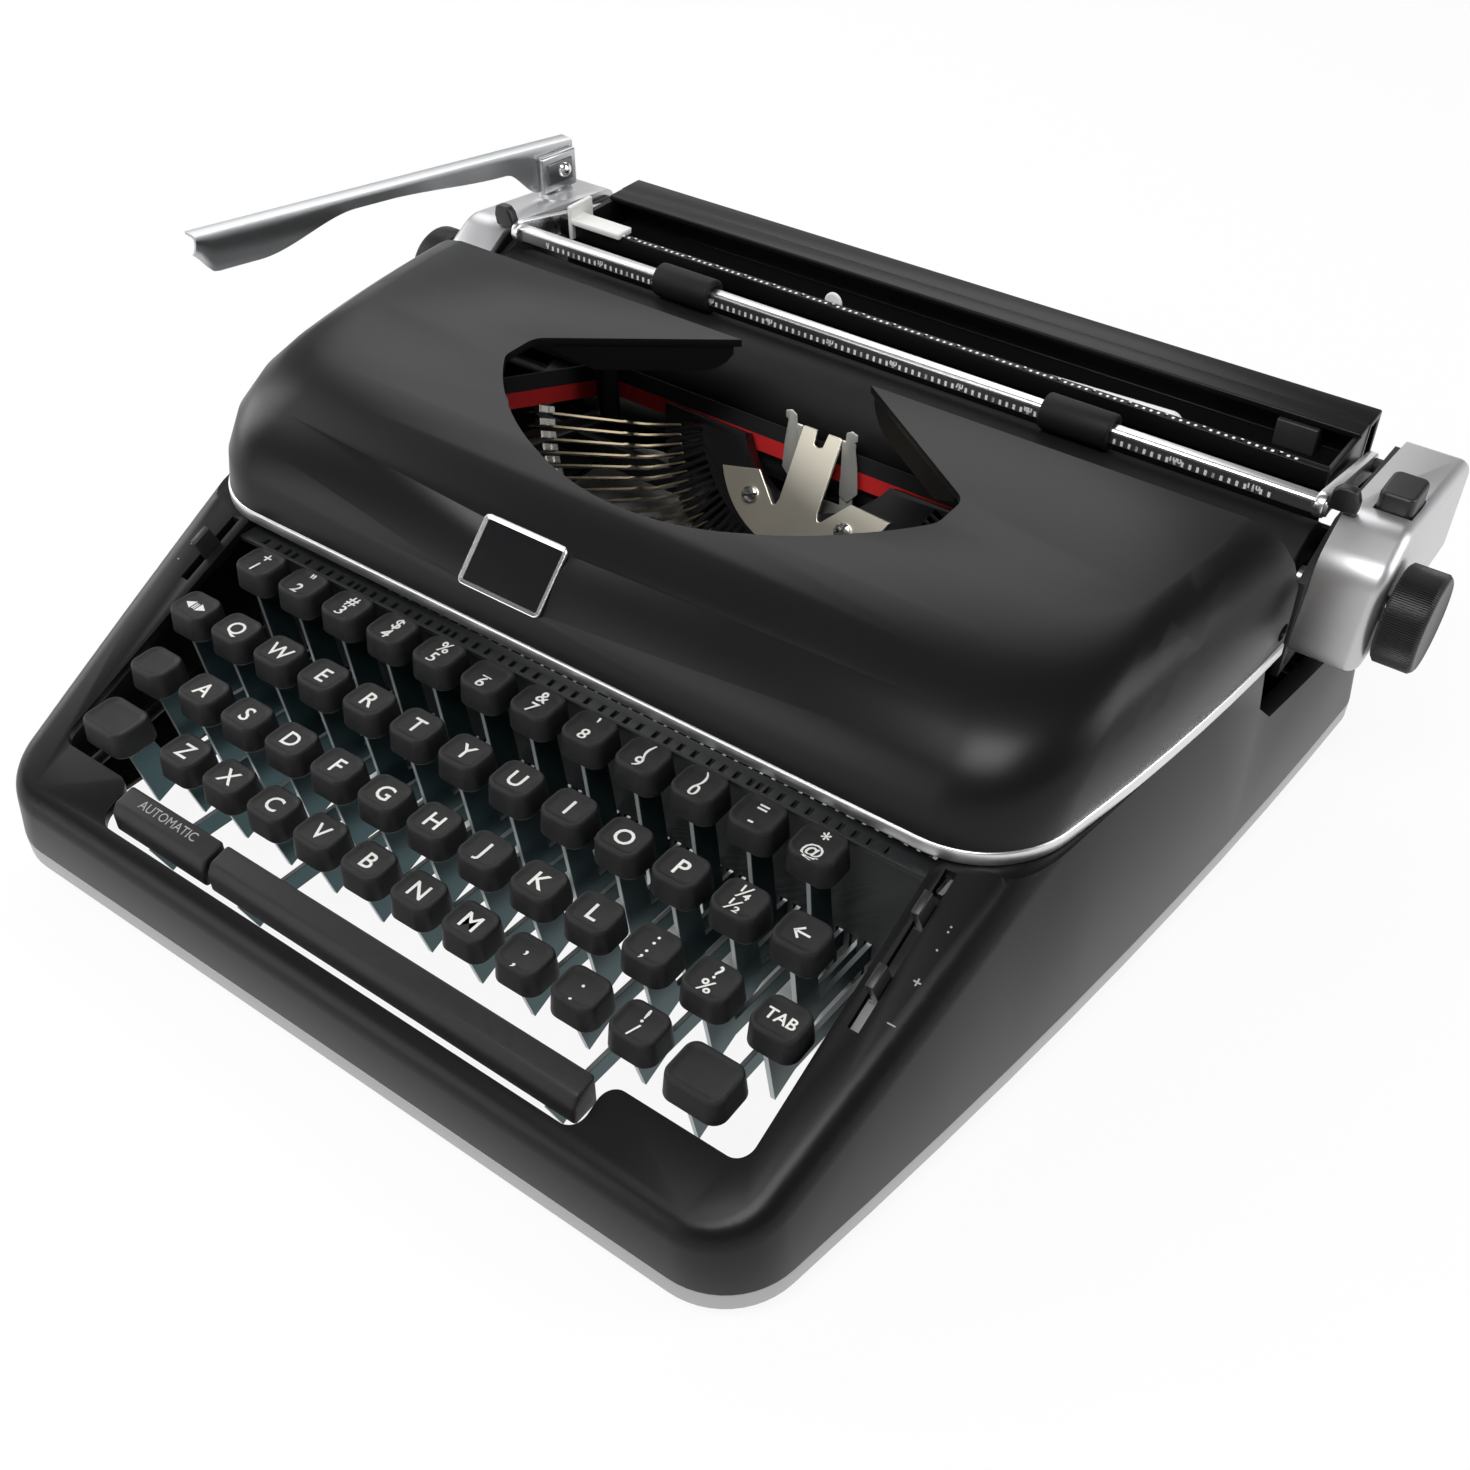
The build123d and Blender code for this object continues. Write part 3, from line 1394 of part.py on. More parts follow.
# Deck levers: thin tabs through slots in the sloping deck, each with a collar plate below
deck_slope = math.degrees(math.atan2(deck_z - nose_z, deck_top_y - front_y))
for name, side, y in deck_levers:
    lever_plane_z = nose_z + (deck_z - nose_z) * (y - front_y) / (deck_top_y - front_y)
    tab_plane = Plane(
        (side * deck_lever_x, y, lever_plane_z),
        x_dir=(1, 0, 0),
        z_dir=(0, -math.sin(math.radians(deck_slope)), math.cos(math.radians(deck_slope))),
    )
    under = body_wall * math.cos(math.radians(deck_slope)) + running_gap
    with BuildPart() as deck_lever:
        with BuildSketch(tab_plane.offset(-under)):
            Rectangle(deck_lever_thick, deck_lever_length)
        extrude(amount=under + deck_lever_rise)
        with BuildSketch(tab_plane.offset(-under)):
            Rectangle(deck_lever_collar, deck_lever_length)
        extrude(amount=-deck_lever_plate)
    save(deck_lever, name)
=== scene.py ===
"""Manual portable typewriter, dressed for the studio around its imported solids."""

import json
import math

import bmesh
import bpy
from mathutils import Matrix, Vector
from mathutils.bvhtree import BVHTree


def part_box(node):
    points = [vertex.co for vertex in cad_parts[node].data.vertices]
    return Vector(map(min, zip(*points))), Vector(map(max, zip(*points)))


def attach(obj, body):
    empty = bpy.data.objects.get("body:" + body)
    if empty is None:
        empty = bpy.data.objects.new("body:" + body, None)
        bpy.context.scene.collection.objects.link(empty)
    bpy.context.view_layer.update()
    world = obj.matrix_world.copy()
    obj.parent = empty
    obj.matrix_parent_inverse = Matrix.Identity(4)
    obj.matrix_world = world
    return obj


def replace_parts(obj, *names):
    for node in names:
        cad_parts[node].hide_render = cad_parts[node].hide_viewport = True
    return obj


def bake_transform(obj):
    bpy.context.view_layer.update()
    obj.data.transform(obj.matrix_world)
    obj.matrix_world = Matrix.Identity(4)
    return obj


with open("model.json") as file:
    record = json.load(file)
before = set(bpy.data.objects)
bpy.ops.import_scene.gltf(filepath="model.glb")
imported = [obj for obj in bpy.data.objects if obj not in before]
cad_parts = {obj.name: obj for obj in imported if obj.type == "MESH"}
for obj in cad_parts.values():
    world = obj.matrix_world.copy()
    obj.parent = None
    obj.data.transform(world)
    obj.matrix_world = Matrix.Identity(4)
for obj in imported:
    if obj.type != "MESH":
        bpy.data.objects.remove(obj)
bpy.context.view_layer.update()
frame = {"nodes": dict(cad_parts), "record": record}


# Rubber feet: four turned plugs of black rubber, pressed into the bottom plate.
# They are slightly dusty and matt, with a broken edge where they meet the table.
mm = 0.001
weld_distance, flat_angle = 0.002 * mm, math.radians(0.5)
body_of = {
    node: body for body, nodes in frame["record"]["behaviour"]["bodies"].items() for node in nodes
}


def feed(tree, node, inputs):
    """Set a node's inputs, each from a value or from the socket that drives it."""
    for name, value in inputs.items():
        if isinstance(value, bpy.types.NodeSocket):
            tree.links.new(value, node.inputs[name])
        else:
            node.inputs[name].default_value = value
    return node


def wired(tree, kind, inputs=None, **settings):
    """A new node of a kind, with its settings made and its inputs fed."""
    node = tree.nodes.new(kind)
    for name, value in settings.items():
        setattr(node, name, value)
    return feed(tree, node, inputs or {})


def surface(name, colour, roughness, metallic=0.0, mottle=40, spread=0.15, grain=1500, depth=0.02, shine=0.5):
    """A finish with broad uneven colour and gloss, and a fine grain raised in the surface."""
    material = bpy.data.materials.new(name)
    material.use_nodes = True
    tree = material.node_tree
    place = wired(tree, "ShaderNodeTexCoord").outputs["Object"]
    broad = wired(tree, "ShaderNodeTexNoise", {"Vector": place, "Scale": mottle, "Detail": 4}).outputs["Fac"]
    tint = wired(tree, "ShaderNodeMix", {
        "Factor": broad,
        "A": [c * (1 - spread) for c in colour] + [1],
        "B": [min(1, c * (1 + spread)) for c in colour] + [1],
    }, data_type="RGBA")
    gloss = wired(tree, "ShaderNodeMapRange", {
        "Value": broad, "To Min": roughness * (1 - spread / 2), "To Max": roughness * (1 + spread / 2),
    })
    fine = wired(tree, "ShaderNodeTexNoise", {"Vector": place, "Scale": grain, "Detail": 2})
    relief = wired(tree, "ShaderNodeBump", {
        "Strength": 0.5, "Distance": depth * mm, "Height": fine.outputs["Fac"],
    })
    feed(tree, tree.nodes["Principled BSDF"], {
        "Metallic": metallic, "Specular IOR Level": shine, "Base Color": tint.outputs["Result"],
        "Roughness": gloss.outputs["Result"], "Normal": relief.outputs["Normal"],
    })
    return material


def settle(piece, material, crease=35):
    """Give a finished mesh its material and smooth faces with sharp creases."""
    mesh = piece.data
    mesh.materials.clear()
    mesh.materials.append(material)
    for face in mesh.polygons:
        face.material_index = 0
        face.use_smooth = True
    mesh.set_sharp_from_angle(angle=math.radians(crease))
    return piece


def added(name, data, place=None):
    """A new object at the origin for a mesh, a lamp or the like, with a mesh moved to its place."""
    data.name = name
    if place:
        data.transform(place)
    piece = bpy.data.objects.new(name, data)
    bpy.context.scene.collection.objects.link(piece)
    return piece


def evaluated(piece):
    """A plain mesh of a piece as its modifiers or its letters make it."""
    bpy.context.view_layer.update()
    graph = bpy.context.evaluated_depsgraph_get()
    return bpy.data.meshes.new_from_object(piece.evaluated_get(graph))


def baked(piece):
    """Turn a piece with modifiers into a plain mesh."""
    mesh, old = evaluated(piece), piece.data
    piece.modifiers.clear()
    piece.data = mesh
    if old.users == 0:
        bpy.data.meshes.remove(old)
    return piece


def broken_edges(piece, width, steps=2, crease=30):
    """Round the sharp edges of a mesh by a width in millimetres."""
    bevel = piece.modifiers.new("broken edges", "BEVEL")
    bevel.width = width * mm
    bevel.segments = steps
    bevel.limit_method = "ANGLE"
    bevel.angle_limit = math.radians(crease)
    return baked(piece)


def opened(mesh):
    """The faces of a mesh, opened for work."""
    shape = bmesh.new()
    shape.from_mesh(mesh)
    return shape


def written(shape, mesh=None):
    """A worked shape put into a mesh, or into a new one."""
    mesh = mesh or bpy.data.meshes.new("shape")
    shape.to_mesh(mesh)
    shape.free()
    return mesh


def merged_copy(node, name):
    """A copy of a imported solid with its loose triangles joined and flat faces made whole."""
    mesh = frame["nodes"][node].data.copy()
    shape = opened(mesh)
    bmesh.ops.remove_doubles(shape, verts=shape.verts, dist=weld_distance)
    bmesh.ops.dissolve_limit(shape, angle_limit=flat_angle, verts=shape.verts, edges=shape.edges)
    return added(name, written(shape, mesh))


def carried(piece, node):
    """Let a piece ride on a node's body."""
    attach(piece, body_of[node])
    return piece


def stands_for(piece, node):
    """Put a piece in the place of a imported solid, on the same body."""
    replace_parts(carried(piece, node), node)
    return piece


def dressed(node, material, width=0.4, steps=2, crease=35):
    """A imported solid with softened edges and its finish."""
    piece = broken_edges(merged_copy(node, node + "_skin"), width, steps, crease)
    return stands_for(settle(piece, material, crease), node)


foot_rubber = surface("foot_rubber", (0.02, 0.02, 0.02), 0.75, grain=900, depth=0.05)
dressed("rubber_feet", foot_rubber, 0.8)


# Bottom plate: pressed sheet steel that closes the base, painted black like the shell.
# It lies inside the trim band and carries the chassis on eight screws.
satin_black = surface(
    "satin_black", (0.006, 0.006, 0.0063), 0.33, mottle=25, spread=0.12, grain=2600, depth=0.012, shine=0.2
)
dressed("bottom_plate", satin_black, 0.3)


# Trim band: drawn aluminium strip round the foot of the body, satin silver, painted darker than the cover
# trim as painted shade.
# Its drawing lines run along the band, so the grain is stretched lengthwise.
def drawn_metal(name, colour, roughness, stretch=(40, 40, 4000), streak=0.12):
    """Satin metal whose fine lines run across the short direction of the given stretch."""
    material = surface(name, colour, roughness, metallic=1.0, mottle=30, spread=0.05, grain=1, depth=0.01)
    tree = material.node_tree
    place = tree.nodes["Texture Coordinate"].outputs["Object"]
    along = wired(tree, "ShaderNodeMapping", {"Vector": place, "Scale": stretch}).outputs["Vector"]
    lines = wired(tree, "ShaderNodeTexNoise", {"Vector": along, "Scale": 1, "Detail": 3}).outputs["Fac"]
    gloss = wired(tree, "ShaderNodeMapRange", {
        "Value": lines, "To Min": roughness * (1 - streak), "To Max": roughness * (1 + streak),
    })
    feed(tree, tree.nodes["Principled BSDF"], {"Roughness": gloss.outputs["Result"]})
    feed(tree, tree.nodes["Bump"], {"Height": lines})
    return material


# Darker copy of the trim aluminium: painted shade low on the body.
painted_shade_silver = drawn_metal("painted_shade_silver", (0.40, 0.40, 0.405), 0.36)
dressed("base_trim", painted_shade_silver, 0.8, 3)


# Body shell: one moulded housing with a sloping deck round the keyboard well, sprayed satin black.
# It drops over the trim band and is screwed up from below.
dressed("body_shell", satin_black, 0.9, 3, 30)


# Marks beside the deck levers: small raised dots and a plus and minus moulded into the sloping deck.
# They are picked out in grey paint, and sit on the slope beside the slots.
capital_share, print_lift = 0.69, 0.05 * mm
deck_rise, deck_front_height = math.atan2(44.5, 108), 31.5 * mm
deck_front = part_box("base_trim")[0].y
mark_gap, mark_height, mark_weight = 4 * mm, 3 * mm, 0.05 * mm
mark_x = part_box("touch_control")[1].x + mark_gap


def lettering(name, words, height, material, node, weight=0.0):
    """Flat printed words on a node's body, each with the matrix of its place, its baseline along X."""
    shape = bmesh.new()
    for text, place in words:
        curve = bpy.data.curves.new(name, "FONT")
        curve.body = text
        curve.size = height / capital_share
        curve.align_x = "CENTER"
        curve.resolution_u = 3
        curve.offset = weight
        holder = added(name + "_curve", curve)
        mesh = evaluated(holder)
        mesh.transform(place @ Matrix.Translation((0, -height / 2, 0)))
        shape.from_mesh(mesh)
        bpy.data.objects.remove(holder)
        bpy.data.curves.remove(curve)
        bpy.data.meshes.remove(mesh)
    piece = settle(added(name, written(shape)), material)
    return carried(piece, node)


def middle_of(node):
    """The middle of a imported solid's box."""
    low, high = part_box(node)
    return (low + high) / 2


def on_deck(x, y):
    """Place on the sloping deck, turned to lie along it."""
    z = deck_front_height + math.tan(deck_rise) * (y - deck_front)
    return Matrix.Translation((x, y, z + print_lift)) @ Matrix.Rotation(deck_rise, 4, "X")


print_grey = surface("print_grey", (0.33, 0.33, 0.33), 0.6)
deck_marks = []
for lever, side, marks in (
    ("tab_lever", 1, (("+", 5), ("–", -6))),
    ("touch_control", 1, ((".", -5), (":", 0))),
    ("ribbon_selector", -1, ((".", -6), (".", 0), (".", 6))),
):
    for mark, ahead in marks:
        deck_marks.append((mark, on_deck(side * mark_x, middle_of(lever).y + ahead * mm)))
lettering("deck_marks", deck_marks, mark_height, print_grey, "body_shell", mark_weight)


# Chassis: bent side plates, the crossmember with its two guide rods, and the carriage rail.
# All are phosphated dark steel, screwed down to the bottom plate with cheese-head screws.
dark_steel = surface("dark_steel", (0.022, 0.023, 0.024), 0.5, 0.4, mottle=60, spread=0.3, depth=0.02)
screw_steel = surface("screw_steel", (0.42, 0.41, 0.38), 0.3, 1.0, mottle=200, spread=0.2, depth=0.01)
dressed("side_plates", dark_steel, 0.25)
dressed("front_crossmember", dark_steel, 0.3)
dressed("carriage_rail", dark_steel, 0.4)
dressed("chassis_screws", screw_steel, 0.4)
dressed("key_fulcrum_rod", screw_steel, 0.3)


# Cover hinges: two bent brackets at the rear corners, each with the pin that the cover turns on.
# They are zinc plated with a yellow passivation, which shows like brass in the notch behind the cover.
yellow_zinc = surface("yellow_zinc", (0.62, 0.42, 0.13), 0.3, 1.0, mottle=90, spread=0.25, depth=0.012)
dressed("cover_hinges", yellow_zinc, 0.3)


# Lever comb: a stamped plate across the back of the keyboard that keeps every key lever upright.
# Its shelf shows behind the number row as a dark grey strip with a notch for each lever.
comb_paint = surface("comb_paint", (0.018, 0.019, 0.02), 0.5, 0.2, mottle=80, spread=0.2)
dressed("key_comb", comb_paint, 0.15)


# Key levers: long stampings of blued steel, all hung on the fulcrum rod at the back.
# The flat sides keep the dark blue-green of the heat treatment; the sheared edges are bare steel with a
# painted highlight.
def reckoned(tree, operation, *values, clamp=False):
    """The result of a maths node over sockets and numbers."""
    node = wired(tree, "ShaderNodeMath", dict(enumerate(values)), operation=operation, use_clamp=clamp)
    return node.outputs["Value"]


def two_tone(material, share, colour):
    """Give a finish another colour where a share falls from 1 to 0."""
    tree = material.node_tree
    both = wired(tree, "ShaderNodeMix", {
        "Factor": share, "A": (*colour, 1), "B": tree.nodes["Mix"].outputs["Result"],
    }, data_type="RGBA")
    feed(tree, tree.nodes["Principled BSDF"], {"Base Color": both.outputs["Result"]})


def blued_steel_with_edge_highlight(name, side, edge):
    """Heat-blued sides with edges of bare steel and painted highlight, told apart by which way a face looks.
    """
    material = surface(name, side, 0.42, 0.75, mottle=120, spread=0.3, depth=0.015)
    tree = material.node_tree
    facing = wired(tree, "ShaderNodeNewGeometry").outputs["Normal"]
    sideways = wired(tree, "ShaderNodeSeparateXYZ", {"Vector": facing}).outputs["X"]
    size = reckoned(tree, "ABSOLUTE", sideways)
    choose = wired(tree, "ShaderNodeMapRange", {"Value": size, "From Min": 0.35, "From Max": 0.75})
    # Faces that do not look sideways get the edge colour, a painted highlight over bare steel.
    two_tone(material, choose.outputs["Result"], edge)
    return material


lever_blue = blued_steel_with_edge_highlight("lever_blue", (0.045, 0.088, 0.096), (0.5, 0.53, 0.53))
sheared_edge = 0.12
for row in ("number_row", "upper_row", "home_row", "lower_row"):
    dressed(row + "_levers", lever_blue, sheared_edge, 1)
dressed("space_bar_arms", lever_blue, sheared_edge, 1)
dressed("shift_levers", lever_blue, sheared_edge, 1)


# Key caps: one moulding of matt black plastic with near-upright sides and a shallow dish, pressed on a stem.
# The legends are moulded in white and lie flush with the floor of the dish.
key_width, key_depth, key_height, key_pitch = 15.2 * mm, 13.6 * mm, 8.5 * mm, 19 * mm
cap_corner, corner_points = 4.2, 10
letter_height, sign_height, legend_weight = 5.4 * mm, 4.2 * mm, 0.08 * mm
lower_sign, upper_sign, no_place = -2.7 * mm, 2.5 * mm, -1
typing_column = 5
row_letters = {
    "number_row": "1+ 2\" 3# 4$ 5% 6_ 7& 8' 9( 0) -= @*".split(),
    "upper_row": "Q W E R T Y U I O P ½¼".split(),
    "home_row": "A S D F G H J K L ;: %?".split(),
    "lower_row": "Z X C V B N M ,, .. /!".split(),
}
key_plastic = surface(
    "key_plastic", (0.0095, 0.0095, 0.0102), 0.5, mottle=400, spread=0.45, grain=4200, depth=0.08, shine=0.34
)
legend_white = surface("legend_white", (0.7, 0.7, 0.67), 0.55)


def rounded_loop(width, depth, corner, z):
    """Points round a rectangle with round corners."""
    points = []
    for turn, (sx, sy) in enumerate(((1, 1), (-1, 1), (-1, -1), (1, -1))):
        for step in range(corner_points):
            angle = math.pi / 2 * (turn + step / (corner_points - 1))
            x = sx * (width / 2 - corner) + corner * math.cos(angle)
            y = sy * (depth / 2 - corner) + corner * math.sin(angle)
            points.append(Vector((x, y, z)))
    return points


def stacked(loops):
    """A mesh of loops joined one to the next, with the last and first filled."""
    shape = bmesh.new()
    rings = [[shape.verts.new(point) for point in loop] for loop in loops]
    for low, high in zip(rings, rings[1:]):
        for index in range(len(low)):
            after = (index + 1) % len(low)
            shape.faces.new((low[index], low[after], high[after], high[index]))
    shape.faces.new(list(reversed(rings[0])))
    shape.faces.new(rings[-1])
    bmesh.ops.recalc_face_normals(shape, faces=shape.faces)
    return written(shape)


def cap_mesh(width, depth):
    """One key cap with its upper rim at Z = 0, from insets and drops in millimetres."""
    skirt = key_height / mm
    profile = (
        (0.25, skirt), (0, skirt - 0.4), (0.55, 1.4), (0.72, 0.55), (0.98, 0.14),
        (1.35, 0.0), (1.75, 0.1), (2.4, 0.34), (3.2, 0.5),
    )
    loops = []
    for inset, drop in profile:
        sides = (width - 2 * inset * mm, depth - 2 * inset * mm)
        loops.append(rounded_loop(*sides, (cap_corner - 0.9 * inset) * mm, -drop * mm))
    return stacked(loops)


def copies_tree(name):
    """Node group that sets copies of a unit along a line or round a fan, with one place left empty."""
    tree = bpy.data.node_groups.new(name, "GeometryNodeTree")
    for label, kind in (
        ("Geometry", "Geometry"), ("Unit", "Object"), ("Copies", "Int"), ("First place", "Vector"),
        ("Step", "Vector"), ("Span", "Float"), ("Empty place", "Int"), ("Finish", "Material"),
    ):
        tree.interface.new_socket(label, in_out="INPUT", socket_type="NodeSocket" + kind)
    tree.interface.new_socket("Geometry", in_out="OUTPUT", socket_type="NodeSocketGeometry")
    given = wired(tree, "NodeGroupInput").outputs
    line = wired(tree, "GeometryNodeMeshLine", {
        "Count": given["Copies"], "Start Location": given["First place"], "Offset": given["Step"],
    })
    number = wired(tree, "GeometryNodeInputIndex").outputs["Index"]
    share = reckoned(tree, "DIVIDE", number, reckoned(tree, "SUBTRACT", given["Copies"], 1))
    angle = reckoned(tree, "MULTIPLY", reckoned(tree, "SUBTRACT", share, 0.5), given["Span"])
    around = wired(tree, "ShaderNodeCombineXYZ", {"Z": angle})
    turn = wired(tree, "FunctionNodeEulerToRotation", {"Euler": around.outputs["Vector"]})
    is_empty = reckoned(tree, "COMPARE", number, given["Empty place"], 0.5)
    unit = wired(tree, "GeometryNodeObjectInfo", {"Object": given["Unit"]})
    put = wired(tree, "GeometryNodeInstanceOnPoints", {
        "Points": line.outputs["Mesh"], "Selection": reckoned(tree, "SUBTRACT", 1, is_empty),
        "Instance": unit.outputs["Geometry"], "Rotation": turn.outputs["Rotation"],
    })
    real = wired(tree, "GeometryNodeRealizeInstances", {"Geometry": put.outputs["Instances"]})
    finish = wired(tree, "GeometryNodeSetMaterial", {
        "Geometry": real.outputs["Geometry"], "Material": given["Finish"],
    })
    wired(tree, "NodeGroupOutput", {"Geometry": finish.outputs["Geometry"]})
    return tree


set_out = copies_tree("copies of a unit")
origin = (0.0, 0.0, 0.0)


def copied(name, unit_mesh, material, copies, first=origin, step=origin, span=0.0, empty=no_place):
    """Copies of one mesh along a line or round a fan, as a plain mesh piece. The unit is used up."""
    unit = added(name + "_unit", unit_mesh)
    piece = added(name, bpy.data.meshes.new(name))
    values = {
        "Unit": unit, "Copies": copies, "First place": first, "Step": step, "Span": span,
        "Empty place": empty, "Finish": material,
    }
    spread = piece.modifiers.new("copies", "NODES")
    spread.node_group = set_out
    for socket in set_out.interface.items_tree:
        if socket.in_out == "INPUT" and socket.name in values:
            spread[socket.identifier] = values[socket.name]
    baked(piece)
    bpy.data.objects.remove(unit)
    return settle(piece, material)


def legend(text, middle):
    """The one sign of a key in its middle, or a lower sign in front and an upper sign behind."""
    offsets = (0,) if len(text) == 1 else (lower_sign, upper_sign)
    return [(sign, Matrix.Translation(middle + Vector((0, y, 0)))) for sign, y in zip(text, offsets)]


def skin_of(mesh):
    """The faces of a mesh, ready to be hit by rays."""
    return BVHTree.FromPolygons([v.co for v in mesh.vertices], [tuple(p.vertices) for p in mesh.polygons])


def print_on_caps(name, words, height, caps, node):
    """White legends that follow the dished tops of the caps below them."""
    piece = lettering(name, words, height, legend_white, node, legend_weight)
    skin = skin_of(caps.data)
    for vertex in piece.data.vertices:
        top = skin.ray_cast(vertex.co + Vector((0, 0, key_height)), Vector((0, 0, -1)))[0]
        vertex.co.z = top.z + print_lift


for row, signs in row_letters.items():
    node = row + "_keytops"
    low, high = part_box(node)
    first = Vector((low.x + key_width / 2, middle_of(node).y, high.z))
    empty = typing_column if row == "home_row" else no_place
    caps = copied(row + "_caps", cap_mesh(key_width, key_depth), key_plastic, len(signs), tuple(first),
                  (key_pitch, 0, 0), empty=empty)
    stands_for(caps, node)
    words = {1: [], 2: []}
    for column, sign in enumerate(signs):
        if column != empty:
            words[len(sign)] += legend(sign, first + Vector((column * key_pitch, 0, 0)))
    for kind, count, height in (("_letters", 1, letter_height), ("_signs", 2, sign_height)):
        if words[count]:
            print_on_caps(row + kind, words[count], height, caps, node)


# Function keys and the typing key: the same cap on its own lever, so that each one moves alone.
# Margin release and back space carry arrows, the tabulator its name, and the lock and shift keys are blank.
shift_width, cut_slack = 19 * mm, 0.01 * mm


def single_key(node, signs=(), height=letter_height):
    """A key with its own lever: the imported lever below, and a moulded cap with signs along X above."""
    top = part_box(node)[1].z
    lever = merged_copy(node, node + "_lever")
    shape = opened(lever.data)
    above = [face for face in shape.faces if min(v.co.z for v in face.verts) > top - key_height - cut_slack]
    xs, ys = zip(*(v.co.xy for face in above for v in face.verts))
    middle = Vector(((min(xs) + max(xs)) / 2, (min(ys) + max(ys)) / 2, top))
    bmesh.ops.delete(shape, geom=above, context="FACES")
    written(shape, lever.data)
    stands_for(settle(lever, lever_blue), node)
    cap = added(node + "_cap", cap_mesh(key_width, key_depth), Matrix.Translation(middle))
    carried(settle(cap, key_plastic), node)
    if signs:
        words = [(sign, Matrix.Translation(middle + Vector((x * mm, 0, 0)))) for sign, x in signs]
        print_on_caps(node + "_legend", words, height, cap, node)


single_key("typing_key", [(row_letters["home_row"][typing_column], 0)])
single_key("margin_release_key", [("◄", -2.6), ("ll", 0), ("►", 2.6)], 2.6 * mm)
single_key("backspace_key", [("←", 0)], 4.6 * mm)
single_key("tabulator_key", [("TAB", 0)], 3.4 * mm)
single_key("shift_lock_key")

shift_low, shift_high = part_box("shift_keytops")
shift_first = (shift_low.x + shift_width / 2, middle_of("shift_keytops").y, shift_high.z)
shift_step = (shift_high.x - shift_low.x - shift_width, 0, 0)
shift_unit = cap_mesh(shift_width, shift_high.y - shift_low.y)
stands_for(copied("shift_caps", shift_unit, key_plastic, 2, shift_first, shift_step), "shift_keytops")


# Space bar and automatic key: long mouldings of the same plastic at the front of the keyboard.
# Their upper faces lean back a little and every edge is rounded for the thumbs.
dressed("space_bar", key_plastic, 1.1, 4, 25)
space_low, space_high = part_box("space_bar")
bar_lean = math.atan2(1.5, 7)
word_inset, word_drop, word_height = 5.6 * mm, 0.68 * mm, 2.9 * mm


def half_of(node, name, upper):
    """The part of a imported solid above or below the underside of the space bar, with its cut filled."""
    piece = merged_copy(node, name)
    shape = opened(piece.data)
    edge = space_low.z - cut_slack
    other = [face for face in shape.faces if (min(v.co.z for v in face.verts) > edge) != upper]
    bmesh.ops.delete(shape, geom=other, context="FACES")
    bmesh.ops.holes_fill(shape, edges=shape.edges)
    written(shape, piece.data)
    return piece


auto_bar = settle(broken_edges(half_of("automatic_key", "automatic_bar", True), 1.1, 4, 25), key_plastic)
stands_for(auto_bar, "automatic_key")
auto_lever = settle(half_of("automatic_key", "automatic_lever", False), lever_blue)
carried(auto_lever, "automatic_key")
auto_xs = [v.co.x for v in auto_bar.data.vertices]
word_place = ((min(auto_xs) + max(auto_xs)) / 2, space_low.y + word_inset, space_high.z - word_drop)
bar_face = Matrix.Translation(word_place) @ Matrix.Rotation(bar_lean, 4, "X")
lettering("automatic_legend", [("AUTOMATIC", bar_face)], word_height, print_grey, "automatic_key")


# Type segment: a slotted half ring of hard steel, blackened, that carries the pivots of all the typebars.
# It slides on two rods behind it when the shift key lowers the basket.
black_oxide = surface("black_oxide", (0.012, 0.012, 0.013), 0.38, 0.5, mottle=80, spread=0.25, depth=0.02)
dressed("type_segment", black_oxide, 0.15, 1)


# Type guide: a nickel-plated plate in front of the segment, with a straight tongue up to the print point.
# The notch in the tongue centres each typebar, and two slotted screws hold the plate to the segment.
nickel = surface("nickel", (0.76, 0.71, 0.6), 0.38, 1.0, mottle=50, spread=0.06, grain=2500, depth=0.008)
bright_screw = surface("bright_screw", (0.7, 0.69, 0.66), 0.2, 1.0, mottle=200, spread=0.15, depth=0.008)
across, upright = Vector((1, 0, 0)), Vector((0, 0, 1))
segment_tilt, print_gap = math.radians(32), 4.4 * mm
strike_out = Vector((0, -math.cos(segment_tilt), math.sin(segment_tilt)))
strike_up = Vector((0, math.sin(segment_tilt), math.cos(segment_tilt)))
platen_low, platen_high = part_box("platen")
platen_axis = middle_of("platen")
platen_axis.x = 0
platen_radius = (platen_high.z - platen_low.z) / 2
guide_back, guide_face = -1.0, 0.2
guide_radius, guide_centre = 37.2, -13
screw_radius, screw_height, screw_x, screw_y = 3.1, 1.4, 19 * mm, -36 * mm


def laid_out(place, x_way, y_way, z_way):
    """The matrix of a place whose own X, Y and Z run the given ways."""
    return Matrix.Translation(place) @ Matrix((x_way, y_way, z_way)).transposed().to_4x4()


def plate(outline, low, high, axis=2):
    """A flat plate in millimetres with the given outline, between two heights along an axis."""
    loops = []
    for height in (low, high):
        points = [[a, b] for a, b in outline]
        for point in points:
            point.insert(axis, height)
        loops.append([Vector(point) * mm for point in points])
    return stacked(loops)


def turned(profile, count):
    """A mesh turned about Z, from its radii and heights in millimetres."""
    circle = [2 * math.pi * step / count for step in range(count)]
    return stacked([
        [Vector((radius * math.cos(a), radius * math.sin(a), height)) * mm for a in circle]
        for radius, height in profile
    ])


def boxes(*blocks):
    """A mesh of blocks, each with its size and its middle in millimetres."""
    shape = bmesh.new()
    for size, middle in blocks:
        place = Matrix.Scale(mm, 4) @ Matrix.Translation(middle) @ Matrix.Diagonal((*size, 1))
        bmesh.ops.create_cube(shape, size=1, matrix=place)
    return written(shape)


